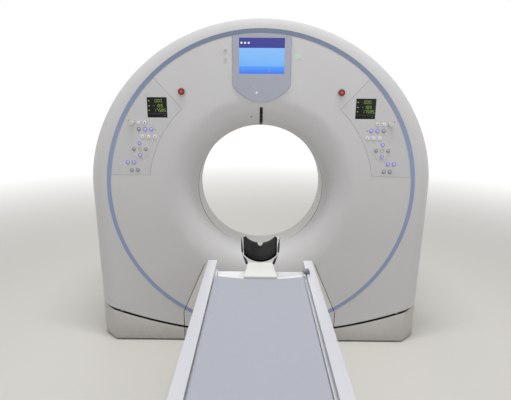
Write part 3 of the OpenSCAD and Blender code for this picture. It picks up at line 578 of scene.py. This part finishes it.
def build_lamp_colours():
    tree, given, out = new_group("lamp_colours", {"Colour": "color"})
    x, z = split(tree, given, "XZ")
    grain = noise(tree, given, 260.0, 1.0)
    blot = sum_of(tree, "GREATER_THAN", grain, BLOT_LEVEL)
    tint = blend_colour(tree, grain, (0.95, 0.80, 0.95, 1), (1.0, 0.92, 1.0, 1))
    # Painted light: the unlit grey marks on the left glow.
    tint = blend_colour(tree, sum_of(tree, "LESS_THAN", x, -SIDE_X), tint, (0.63, 0.62, 0.63, 1))
    for centre in GREY_LAMPS:
        glyph = sum_of(tree, "MULTIPLY", inside_disc(tree, x, z, centre, GREY_MARK_R), blot)
        tint = blend_colour(tree, glyph, tint, (0.42, 0.41, 0.42, 1))
    tint = blend_colour(tree, sum_of(tree, "GREATER_THAN", x, SIDE_X), tint, (0.66, 0.86, 0.72, 1))
    tint = blend_colour(tree, inside_disc(tree, x, z, GREEN_LAMP, GREEN_R), tint, (0.52, 0.96, 0.64, 1))
    glyph = sum_of(tree, "MULTIPLY", inside_disc(tree, x, z, GREEN_LAMP, GREEN_MARK_R), blot)
    tint = blend_colour(tree, glyph, tint, (0.38, 0.78, 0.50, 1))
    plug(tree, tint, out["Colour"])
    return tree


lamp_colours = build_lamp_colours()
materials["lamp"] = lit_material("lamp", lamp_colours, 0.75)
print("lamp_colours:", len(lamp_colours.nodes), "nodes")

# %% [markdown]
# The CAD nodes keep their shapes. Each gets its slot's material, or a special one, and
# those listed in SOFT_EDGES also get smooth shading on their curved faces and a small
# bevel where a moulded edge would catch the light.

# %% Dress the CAD nodes
SOFT_EDGES = {
    "side_rails": 0.0035, "table_tray": 0.004, "pedestal_cover": 0.006, "upper_sleeve": 0.002,
    "middle_sleeve": 0.002, "rail_clip": 0.002, "left_stop_button": 0.003, "right_stop_button": 0.003,
    "left_speed_knob": 0.0015, "right_speed_knob": 0.0015, "cradle": 0.002, "head_holder": 0.0015,
    "main_screen": 0.0006, "readouts": 0.0006, "base_skirt": 0.0035,
}
SPECIAL = {"base_skirt": skirt_white, "pedestal_cover": skirt_white,
           "left_speed_knob": knob_grey, "right_speed_knob": knob_grey}
for side in ("left", "right"):
    for i in range(1, 6):
        SOFT_EDGES[f"{side}_button_{i}"] = 0.0012


def soften(piece, width, segments=3):
    """A bevel on sharp edges, with shading that keeps the flats flat."""
    weld = piece.modifiers.new("weld", "WELD")
    weld.merge_threshold = 0.00001
    bevel = piece.modifiers.new("bevel", "BEVEL")
    bevel.width, bevel.segments = width, segments
    bevel.limit_method, bevel.angle_limit = "ANGLE", math.radians(40)
    bevel.harden_normals = True


for name, piece in nodes.items():
    piece.data.materials.clear()
    piece.data.materials.append(SPECIAL.get(name, materials[slot_of[name]]))
    if name in SOFT_EDGES:
        piece.data.shade_smooth()
        piece.data.set_sharp_from_angle(angle=math.radians(35))
        soften(piece, SOFT_EDGES[name])
print(len(SOFT_EDGES), "nodes with softened edges")

# %% [markdown]
# A seven-segment figure is seven short bars. Each bar is a thin six-sided lozenge, so
# a whole readout is one small mesh made from a table of which bars are on.

# %% Write the readouts
SEGMENTS = {
    "0": "abcdef", "1": "bc", "2": "abged", "3": "abgcd", "4": "fgbc", "5": "afgcd",
    "6": "afgedc", "7": "abc", "8": "abcdefg", "9": "abcdfg", "-": "g",
}
FIGURE_W, FIGURE_H, FIGURE_STEP, BAR = 0.0086, 0.0145, 0.0133, 0.0016
BARS = {
    "a": (0, 1, "across"), "g": (0, 0.5, "across"), "d": (0, 0, "across"),
    "f": (0, 0.75, "up"), "e": (0, 0.25, "up"), "b": (1, 0.75, "up"), "c": (1, 0.25, "up"),
}


def lozenge(mesh, x, z, half_x, half_z, y):
    """A flat bar centred on (x, z) with pointed ends."""
    tip = min(half_x, half_z)
    if half_x > half_z:
        points = [(-half_x, 0), (-half_x + tip, -half_z), (half_x - tip, -half_z),
                  (half_x, 0), (half_x - tip, half_z), (-half_x + tip, half_z)]
    else:
        points = [(0, -half_z), (half_x, -half_z + tip), (half_x, half_z - tip),
                  (0, half_z), (-half_x, half_z - tip), (-half_x, -half_z + tip)]
    front = [mesh.verts.new((x + px, y, z + pz)) for px, pz in points]
    back = [mesh.verts.new((x + px, y + 0.0005, z + pz)) for px, pz in points]
    mesh.faces.new(front)
    mesh.faces.new(back[::-1])
    for i in range(6):
        j = (i + 1) % 6
        mesh.faces.new((front[i], back[i], back[j], front[j]))


def write_figures(mesh, text, right_x, low_z, y):
    for place, figure in enumerate(reversed(text)):
        x0 = right_x - FIGURE_W - place * FIGURE_STEP
        for bar in SEGMENTS.get(figure, ""):
            px, pz, way = BARS[bar]
            if way == "across":
                lozenge(mesh, x0 + FIGURE_W / 2, low_z + pz * FIGURE_H, FIGURE_W / 2 - 0.0007, BAR / 2, y)
            else:
                lozenge(mesh, x0 + px * FIGURE_W, low_z + pz * FIGURE_H, BAR / 2, FIGURE_H / 4 - 0.0006, y)


def new_piece(name, mesh, material, body, smooth=False):
    """Turns a bmesh into an object of the scanner that rides on a body."""
    bmesh.ops.recalc_face_normals(mesh, faces=mesh.faces)
    data = bpy.data.meshes.new(name)
    mesh.to_mesh(data)
    mesh.free()
    piece = bpy.data.objects.new(name, data)
    bpy.context.scene.collection.objects.link(piece)
    data.materials.append(material)
    if smooth:
        data.shade_smooth()
    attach(piece, body)
    return piece


def glow_group(name, scale, detail, first, second):
    """A glow that wanders between two colours."""
    tree, given, out = new_group(name, {"Colour": "color"})
    plug(tree, blend_colour(tree, noise(tree, given, scale, detail), first, second), out["Colour"])
    return tree


figure_glow = glow_group("figure_glow", 240.0, 1.0, (0.32, 0.62, 0.06, 1), (0.55, 0.80, 0.12, 1))
figure_green = lit_material("figure_green", figure_glow, 0.62)
READOUT_LOW, READOUT_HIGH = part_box("readouts")
READOUT_W = 0.104
READOUT_ROWS = [("000", 0.077, -0.0250), ("-189", 0.080, -0.0510), ("17585", 0.097, -0.0735)]
ROW_MARK_AT, ROW_MARK_HALF, RULE_DROP = (0.010, 0.0065), (0.0042, 0.0028), 0.084
READOUT_MARKS = [(0.081, -0.025, 0.0012), (0.084, -0.051, 0.0012), (0.100, -0.0735, 0.0012),
                 (0.090, -0.094, 0.003)]
figures_y = READOUT_LOW.y - 0.0004
for side, centre_x in (("left", READOUT_LOW.x + READOUT_W / 2), ("right", READOUT_HIGH.x - READOUT_W / 2)):
    mesh = bmesh.new()
    left_x, top_z = centre_x - READOUT_W / 2, READOUT_HIGH.z
    for text, right_x, row_z in READOUT_ROWS:
        write_figures(mesh, text, left_x + right_x, top_z + row_z, figures_y)
        lozenge(mesh, left_x + ROW_MARK_AT[0], top_z + row_z + ROW_MARK_AT[1], *ROW_MARK_HALF, figures_y)
    for mark_x, mark_z, half in READOUT_MARKS:
        lozenge(mesh, left_x + mark_x, top_z + mark_z, half, 0.0008, figures_y)
    new_piece(f"readout_figures_{side}", mesh, figure_green, GANTRY)
    mesh = bmesh.new()
    lozenge(mesh, centre_x, top_z - RULE_DROP, READOUT_W * 0.47, 0.0004, figures_y)
    new_piece(f"readout_rule_{side}", mesh, materials["clip_grey"], GANTRY)
print("two readouts")

# %% [markdown]
# The keys that don't travel are domed caps under a film. A cap is a profile turned
# about its own axis: a crowned front, a rounded rim and a flat back. Turning a
# profile is how every round thing on this panel is made, so it gets a function.

# %% Turn a profile about a face axis
def turned(mesh, centre, profile, steps=40):
    """Turns [(radius, y), ...] about an axis along Y through centre (x, z)."""
    x0, z0 = centre
    rings = []
    for radius, y in profile:
        if radius == 0:
            rings.append([mesh.verts.new((x0, y, z0))])
            continue
        rings.append([
            mesh.verts.new((x0 + radius * math.cos(k * math.tau / steps), y,
                            z0 + radius * math.sin(k * math.tau / steps)))
            for k in range(steps)
        ])
    for one, two in zip(rings, rings[1:]):
        for k in range(steps):
            j = (k + 1) % steps
            if len(one) == 1 and len(two) == 1:
                continue
            if len(one) == 1:
                mesh.faces.new((one[0], two[k], two[j]))
            elif len(two) == 1:
                mesh.faces.new((one[k], two[0], one[j]))
            else:
                mesh.faces.new((one[k], two[k], two[j], one[j]))


def cap_profile(radius, y, rise):
    """A closed cap: crowned front, rounded rim, flat back."""
    return [(0, y - rise), (radius * 0.45, y - rise * 0.92), (radius * 0.78, y - rise * 0.62),
            (radius * 0.94, y - rise * 0.25), (radius, y), (radius, y + 0.0006), (0, y + 0.0006)]


def ring_profile(radii, back, front):
    """A raised ring. radii: foot and top on the inside, then top and foot on the outside."""
    foot_in, top_in, top_out, foot_out = radii
    return [(foot_in, back), (top_in, front), (top_out, front), (foot_out, back), (foot_in, back)]


print("turned() ready")

# %% [markdown]
# A film key is a round cap with a lens in its middle and a raised grey rim. The lit
# lenses glow violet blue, and the others are grey glass on a darker foot, with a dark bar
# of painted shade on their lower part. A dark ring round each speed knob's foot is a
# painted shadow.

# %% Place the film keys
key_glow = glow_group("key_glow", 160.0, 2.0, (0.13, 0.12, 0.78, 1), (0.34, 0.34, 0.98, 1))
key_lit = lit_material("key_lit", key_glow, 0.85, base=(0.3, 0.3, 0.6, 1))
FACE_TINTS = {
    "key_violet": (0.36, 0.34, 0.74), "key_ring": (0.25, 0.26, 0.27), "key_glass": (0.47, 0.51, 0.53),
    "mark_grey": (0.10, 0.10, 0.11), "mark_red": (0.30, 0.14, 0.19), "rim_silver": (0.60, 0.58, 0.61),
    "rim_grey": (0.33, 0.34, 0.38), "ring_tan": (0.40, 0.375, 0.34),
    "pad_film": (0.60, 0.585, 0.57), "white_film": (0.84, 0.80, 0.83), "knob_shade": (0.26, 0.23, 0.20),
}
face_tints = {}
for name, colour in FACE_TINTS.items():
    face_tints[name] = finish_material(name, moulded_skin, {"Colour": colour, "Roughness": 0.4})
KEY_R, KEY_RISE, KEY_FRONT, PAD_FRONT = 0.0102, 0.0014, -0.0012, -0.0024
CAP_SHARE, LIT_SHARE, GREY_SHARE, LENS_LIFT = 0.88, 0.58, 0.60, KEY_RISE * 0.75
RIM_SHARES = (0.86, 0.88, 1.04, 1.12)
PAD_RING, KNOB_SHADOW_RING = (0.0075, 0.0078, 0.0112, 0.0116), (0.0110, 0.0110, 0.0136, 0.0140)
PAD, KNOB = (0.650, 0.237), (0.684, 0.376)
PAD_R, PAD_KEY_R, PAD_STEP = 0.0492, 0.0096, 0.032
LIT_KEYS = [(0.616, 0.343), (0.583, 0.343), (0.720, 0.165), (0.687, 0.165)]
GREY_KEYS = [(0.649, 0.343), (0.701, 0.123), (0.669, 0.123)]
PAD_LIT = [(PAD[0], PAD[1] + PAD_STEP), (PAD[0], PAD[1] - PAD_STEP)]
PAD_GREY = [(PAD[0] + PAD_STEP, PAD[1]), (PAD[0] - PAD_STEP, PAD[1])]
SMALL_DOTS, DOT_R, DOT_RISE = [(0.702, 0.389), (0.562, 0.341)], 0.0027, 0.0004


def keys_piece(name, keys, share, material, lift=0.0):
    """Caps on the face. keys: (x, z, radius, y); share: part of the radius that is used."""
    mesh = bmesh.new()
    for x, z, radius, y in keys:
        turned(mesh, (x, ISO + z), cap_profile(radius * share, y - lift, KEY_RISE), steps=32)
    return new_piece(name, mesh, material, GANTRY, smooth=True)


def turned_piece(name, centre, profile, steps, tint, smooth=False):
    """One turned form on a control panel."""
    mesh = bmesh.new()
    turned(mesh, centre, profile, steps)
    return new_piece(name, mesh, face_tints[tint], GANTRY, smooth)


for side, k in (("left", -1), ("right", 1)):
    lit = [(k * x, z, KEY_R, KEY_FRONT) for x, z in LIT_KEYS]
    lit += [(k * x, z, PAD_KEY_R, PAD_FRONT) for x, z in PAD_LIT]
    grey = [(k * x, z, KEY_R, KEY_FRONT) for x, z in GREY_KEYS]
    grey += [(k * x, z, PAD_KEY_R, PAD_FRONT) for x, z in PAD_GREY]
    keys_piece(f"lit_keys_{side}", lit, CAP_SHARE, face_tints["key_violet"])
    keys_piece(f"lit_lenses_{side}", lit, LIT_SHARE, key_lit, LENS_LIFT)
    keys_piece(f"grey_keys_{side}", grey, CAP_SHARE, face_tints["key_ring"])
    keys_piece(f"grey_lenses_{side}", grey, GREY_SHARE, face_tints["key_glass"], LENS_LIFT)
    mesh = bmesh.new()
    for x, z, radius, y in lit + grey:
        radii = [radius * share for share in RIM_SHARES]
        turned(mesh, (x, ISO + z), ring_profile(radii, y + 0.0002, y - 0.0010), steps=32)
    new_piece(f"key_rims_{side}", mesh, face_tints["rim_grey"], GANTRY, smooth=True)
    mesh = bmesh.new()
    # Painted shade: a dark bar on the lower part of each grey lens. The small dots are the panel's own.
    for x, z, radius, y in grey:
        lozenge(mesh, x, ISO + z - radius * 0.30, 0.0030, 0.0013, y - KEY_RISE * 1.75 - 0.0002)
    for x, z in SMALL_DOTS:
        turned(mesh, (k * x, ISO + z), cap_profile(DOT_R, 0.0, DOT_RISE), steps=16)
    new_piece(f"key_marks_and_shade_{side}", mesh, face_tints["mark_grey"], GANTRY)
    pad, knob = (k * PAD[0], ISO + PAD[1]), (k * KNOB[0], ISO + KNOB[1])
    film = [(0, KEY_FRONT - 0.0004), (PAD_R - 0.0006, KEY_FRONT - 0.0004), (PAD_R, KEY_FRONT), (0, KEY_FRONT)]
    turned_piece(f"pad_film_{side}", pad, film, 64, "pad_film")
    middle = ring_profile(PAD_RING, KEY_FRONT - 0.0002, KEY_FRONT - 0.0012)
    turned_piece(f"pad_middle_{side}", pad, middle, 8, "ring_tan")
    # Painted shadow: a dark ring round the foot of each speed knob.
    ring = ring_profile(KNOB_SHADOW_RING, 0.0, -0.0006)
    turned_piece(f"knob_shadow_ring_{side}", knob, ring, 48, "knob_shade", smooth=True)
print("film keys on both panels")

# %% [markdown]
# The white buttons travel, so their marks have to ride on the same bodies. A thin
# silver bezel on the panel surrounds each one.

# %% Mark the white buttons
WHITE_BUTTONS = [(0.649, 0.377), (0.616, 0.377), (0.632, 0.304), (0.599, 0.304), (0.566, 0.304)]
BUTTON_FRONT, BUTTON_FILM_R = -0.003, 0.0086
BUTTON_MARKS = [(0.0027, 0.0012), (0.0027, 0.0048), (0.0017, 0.0038), (0.0036, 0.0014), (0.0024, 0.0042)]
GREY_MARKS = (2, 5)
BEZEL = ring_profile((0.0112, 0.0113, 0.0122, 0.0127), 0.0, -0.0011)
for side, k in (("left", -1), ("right", 1)):
    bezels = bmesh.new()
    for i, (x, z) in enumerate(WHITE_BUTTONS, 1):
        centre, body = (k * x, ISO + z), f"{side}_key_{i}"
        mesh = bmesh.new()
        lozenge(mesh, *centre, *BUTTON_MARKS[i - 1], BUTTON_FRONT - 0.0006)
        tint = face_tints["mark_grey" if i in GREY_MARKS else "mark_red"]
        new_piece(f"{side}_button_mark_{i}", mesh, tint, body)
        mesh = bmesh.new()
        turned(mesh, centre, cap_profile(BUTTON_FILM_R, BUTTON_FRONT + 0.0003, 0.0006), steps=32)
        tint = face_tints["white_film"]
        new_piece(f"{side}_button_film_{i}", mesh, tint, body, smooth=True)
        turned(bezels, centre, BEZEL, steps=40)
    new_piece(f"button_bezels_{side}", bezels, face_tints["rim_silver"], GANTRY, smooth=True)
print("button marks and bezels")

# %% [markdown]
# The mat is a thin foam pad in a woven cover. It lies in the cradle's shallow trough,
# so its section is a strip that follows an arc. Its rim is rolled over, and it isn't
# perfectly flat: long shallow waves show that it is soft and was laid by hand.

# %% Make the mat
CRADLE_EDGE_Z, CRADLE_HALF, CRADLE_SAG = 0.645, 0.197, 0.014
TROUGH_R = (CRADLE_HALF ** 2 + CRADLE_SAG ** 2) / (2 * CRADLE_SAG)
MAT_LOW, MAT_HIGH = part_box("mat")
MAT_T, MAT_ROLL, MAT_FADE, MAT_STEPS = 0.012, 0.0045, 0.03, (56, 220)
MAT_INSET, MAT_OVER = 0.001, 0.0055


def trough_surface(x):
    """Height of the cradle's upper face at x."""
    return CRADLE_EDGE_Z - CRADLE_SAG + TROUGH_R - math.sqrt(TROUGH_R ** 2 - x * x)


def mat_wave(x, y):
    """Slow unevenness of the foam, in metres."""
    long_wave = math.sin(5.1 * y + 0.7) * math.cos(7.0 * x + 0.4)
    short_wave = math.sin(13.0 * y + 2.1 + 4.0 * x)
    return 0.0005 * long_wave + 0.00025 * short_wave


def skin_between(mesh, upper, lower):
    """Closes two grids of points into one solid: both faces and the rim between them."""
    along, across = len(upper) - 1, len(upper[0]) - 1
    for j in range(along):
        for i in range(across):
            mesh.faces.new((upper[j][i], upper[j][i + 1], upper[j + 1][i + 1], upper[j + 1][i]))
            mesh.faces.new((lower[j][i], lower[j + 1][i], lower[j + 1][i + 1], lower[j][i + 1]))
    for j in range(along):
        for i in (0, across):
            mesh.faces.new((upper[j][i], upper[j + 1][i], lower[j + 1][i], lower[j][i]))
    for i in range(across):
        for j in (0, along):
            mesh.faces.new((upper[j][i], upper[j][i + 1], lower[j][i + 1], lower[j][i]))


def round_rim(piece, degrees):
    """A small bevel where a pad's faces meet at more than this angle."""
    rim = piece.modifiers.new("rim", "BEVEL")
    rim.width, rim.segments = 0.003, 3
    rim.limit_method, rim.angle_limit = "ANGLE", math.radians(degrees)


def make_mat():
    """The pad is two layers of points, rolled in at its edges."""
    across, along = MAT_STEPS
    mesh = bmesh.new()
    low, high = MAT_LOW.x + MAT_INSET, MAT_HIGH.x + MAT_OVER
    near, far = MAT_LOW.y, MAT_HIGH.y
    tops, bottoms = [], []
    for j in range(along + 1):
        y = near + (far - near) * (j / along)
        edge_y = min(y - near, far - y)
        top_row, bottom_row = [], []
        for i in range(across + 1):
            x = low + (high - low) * (i / across)
            edge = min(x - low, high - x, edge_y)
            drop = MAT_ROLL - math.sqrt(max(MAT_ROLL ** 2 - max(MAT_ROLL - edge, 0) ** 2, 0))
            base = trough_surface(x)
            fade = min(edge / MAT_FADE, 1.0)
            top_row.append(mesh.verts.new((x, y, base + MAT_T - 0.0004 - drop + fade * mat_wave(x, y))))
            bottom_row.append(mesh.verts.new((x, y, base + 0.0003 + drop * 0.6)))
        tops.append(top_row)
        bottoms.append(bottom_row)
    skin_between(mesh, tops, bottoms)
    piece = new_piece("mat_cover", mesh, materials["mat_lavender"], CRADLE, smooth=True)
    round_rim(piece, 50)
    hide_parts("mat")
    return piece


mat_cover = make_mat()
print("mat:", len(mat_cover.data.vertices), "points")

# %% [markdown]
# The head rest's cushion lines a shallow round trough. It is drawn flat, as a length
# along the section and a length along the table, and each point is then bent onto the
# trough. Its sides roll over the cup's rim, and a half-round notch is cut in the far edge.

# %% Make the head cushion
CUP_Z, CUP_INNER, CUSHION_T = 0.780, 0.100, 0.015
CUP_NEAR, CUP_FAR = -0.373, -0.160
RIM_NEAR, RIM_SLOPE = 0.713, math.tan(math.radians(4))
NOTCH_R, NOTCH_L, NOTCH_START, LIP, FAR_FILL = 0.017, 0.046, 0.62, 0.0024, 0.009
SEAM_ARC, SEAM_W, SEAM_DEPTH = 0.062, 0.0022, 0.0012
CUSHION_STEPS, CUSHION_LIFT, END_GAP, RIM_TUCK = (76, 36), 0.0004, 0.001, 0.002


def on_cup(arc, inward, y):
    """A point at arc length from the lowest line, moved inward from the cup's face."""
    radius = CUP_INNER - inward
    angle = arc / CUP_INNER
    return (radius * math.sin(angle), y, CUP_Z - radius * math.cos(angle))


def rim_arc(y):
    """Arc length from the lowest line up to the rim at y."""
    height = RIM_NEAR + RIM_SLOPE * (y - CUP_NEAR)
    return CUP_INNER * math.acos(max(-1.0, min(1.0, (CUP_Z - height) / CUP_INNER)))


def make_head_cushion():
    """The cushion is two layers of points, the outer one rolled over the cup's rim."""
    across, along = CUSHION_STEPS
    mesh = bmesh.new()
    layers = []
    for inward in (CUSHION_LIFT, CUSHION_T):
        rows = []
        for j in range(along + 1):
            v = j / along
            row = []
            for i in range(across + 1):
                u = 2 * i / across - 1
                y = CUP_NEAR + END_GAP + v * (CUP_FAR - CUP_NEAR - 2 * END_GAP)
                arc = u * (rim_arc(y) + LIP)
                x = CUP_INNER * math.sin(arc / CUP_INNER)
                if abs(x) < NOTCH_R and v > NOTCH_START:
                    share = (v - NOTCH_START) / (1 - NOTCH_START)
                    y -= share * NOTCH_L / NOTCH_R * math.sqrt(NOTCH_R ** 2 - x * x)
                at_rim = i in (0, across)
                depth = inward - LIP - RIM_TUCK if at_rim else inward
                if inward > CUSHION_LIFT and not at_rim:
                    edge = min(1 - abs(u), v * 0.9, (1 - v) * 0.9)
                    depth = CUSHION_T * (0.72 + 0.28 * min(edge / 0.16, 1.0))
                    depth += FAR_FILL * v * v * (1 - u * u)
                    depth -= SEAM_DEPTH * math.exp(-(((abs(arc) - SEAM_ARC) / SEAM_W) ** 2))
                row.append(mesh.verts.new(on_cup(arc, depth, y)))
            rows.append(row)
        layers.append(rows)
    back, front = layers
    skin_between(mesh, front, back)
    piece = new_piece("head_cushion", mesh, materials["pad_black"], CRADLE, smooth=True)
    round_rim(piece, 60)
    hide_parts("head_pad")
    return piece


head_cushion = make_head_cushion()
print("head cushion:", len(head_cushion.data.vertices), "points")

# %% [markdown]
# The straps that stand up beside the head rest are black, and the right one ends in a
# white tab. Below the rim each strap turns its flat side to the front and runs down to
# the neck, so a tail is drawn along a few points and widened from one to the next. A
# sleeve covers the upright part, wide at its foot and narrow at the top.

# %% Finish the head straps
STRAP_LOW, STRAP_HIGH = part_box("head_straps")
STRAP_T, STRAP_LEAN = 0.002, math.radians(4)
TAB_H, TAB_W, TAIL_T = 0.022, 0.0055, 0.0016
TAIL = [(0.0850, 0.714, 0.0020), (0.0815, 0.700, 0.0032), (0.0745, 0.685, 0.0048),
        (0.0685, 0.671, 0.0058), (0.0650, 0.657, 0.0060)]
RIM_Z, SLEEVE_OVER, SLEEVE_STEPS, STRAP_PROUD = 0.719, 0.005, 4, 0.0005
TAB_INSET, TAB_OVER = 0.0015, 0.009


def strap_run(mesh, k, points, y, thick):
    """A length of strap along points: (x, z, half of its width), on side k, from y to y + thick."""
    rings = []
    for i, (x, z, half) in enumerate(points):
        before, after = points[max(i - 1, 0)], points[min(i + 1, len(points) - 1)]
        way = Vector((after[0] - before[0], after[1] - before[1])).normalized()
        across = Vector((-way.y, way.x)) * half
        rings.append([mesh.verts.new((k * (x + sign * across.x), y + depth, z + sign * across.y))
                      for sign, depth in ((-1, 0.0), (1, 0.0), (1, thick), (-1, thick))])
    for one, two in zip(rings, rings[1:]):
        for i in range(4):
            j = (i + 1) % 4
            mesh.faces.new((one[i], one[j], two[j], two[i]))
    mesh.faces.new(rings[0])
    mesh.faces.new(rings[-1][::-1])


SLEEVE = []
for i in range(SLEEVE_STEPS + 1):
    t = i / SLEEVE_STEPS
    rise = STRAP_HIGH.z - RIM_Z
    sleeve_x = STRAP_HIGH.x - STRAP_T / 2 - (1 - t) * rise * math.tan(STRAP_LEAN)
    SLEEVE.append((sleeve_x, RIM_Z + t * (rise + SLEEVE_OVER), 0.0040 - 0.0024 * t * t))
strap_y, strap_w = STRAP_LOW.y - STRAP_PROUD, STRAP_HIGH.y - STRAP_LOW.y
for side, k in (("left", -1), ("right", 1)):
    mesh = bmesh.new()
    strap_run(mesh, k, TAIL, strap_y, TAIL_T)
    strap_run(mesh, k, SLEEVE, strap_y, strap_w + 2 * STRAP_PROUD)
    new_piece(f"strap_cover_{side}", mesh, materials["strap_black"], CRADLE)
mesh = bmesh.new()
top_x = STRAP_HIGH.x - STRAP_T
low_x, low_z = top_x - TAB_H * math.sin(STRAP_LEAN), STRAP_HIGH.z - TAB_H / 2
corners = []
for y in (STRAP_LOW.y + TAB_INSET, STRAP_HIGH.y - TAB_INSET):
    for x, z in ((low_x, low_z), (top_x, STRAP_HIGH.z + TAB_OVER)):
        corners.append([mesh.verts.new((x - shift, y, z)) for shift in (0.0, TAB_W)])
(a, b), (c, d), (e, f), (g, h) = corners
for face in ((a, c, d, b), (e, f, h, g), (a, b, f, e), (c, g, h, d), (a, e, g, c), (b, d, h, f)):
    mesh.faces.new(face)
new_piece("strap_tab", mesh, strap_white, CRADLE)
print("strap covers and tab")

# %% [markdown]
# A plain pale floor under the scanner takes its shadow. It isn't part of the object. Far
# from the scanner it fades into the white backdrop, so that no horizon shows.

# %% Lay the floor
FADE_NEAR, FADE_FAR = 2.2, 7.0


def build_floor_fade():
    tree, given, out = new_group("floor_fade", {"Base": "color", "Glow": "color"})
    away = add(tree, "ShaderNodeVectorMath", {"operation": "LENGTH"})
    plug(tree, given["Position"], away.inputs[0])
    far = add(tree, "ShaderNodeMapRange", {"interpolation_type": "SMOOTHSTEP"},
              Value=away.outputs["Value"], From_Min=FADE_NEAR, From_Max=FADE_FAR)
    plug(tree, blend_colour(tree, far.outputs[0], (0.70, 0.68, 0.635, 1), (0, 0, 0, 1)), out["Base"])
    plug(tree, blend_colour(tree, far.outputs[0], (0, 0, 0, 1), (1, 1, 1, 1)), out["Glow"])
    return tree


floor_mesh = bmesh.new()
bmesh.ops.create_grid(floor_mesh, x_segments=1, y_segments=1, size=40)
floor_data = bpy.data.meshes.new("floor")
floor_mesh.to_mesh(floor_data)
floor_mesh.free()
floor = bpy.data.objects.new("floor", floor_data)
bpy.context.scene.collection.objects.link(floor)
floor_paint, floor_tree, floor_shader = new_material("floor_paint")
floor_fade = place_group(floor_tree, build_floor_fade())
plug(floor_tree, floor_fade.outputs["Base"], floor_shader.inputs["Base Color"])
plug(floor_tree, floor_fade.outputs["Glow"], floor_shader.inputs["Emission Color"])
floor_shader.inputs["Emission Strength"].default_value = 1.0
floor_shader.inputs["Roughness"].default_value = 0.7
floor_shader.inputs["Specular IOR Level"].default_value = 0.2
floor_data.materials.append(floor_paint)
print("floor laid")
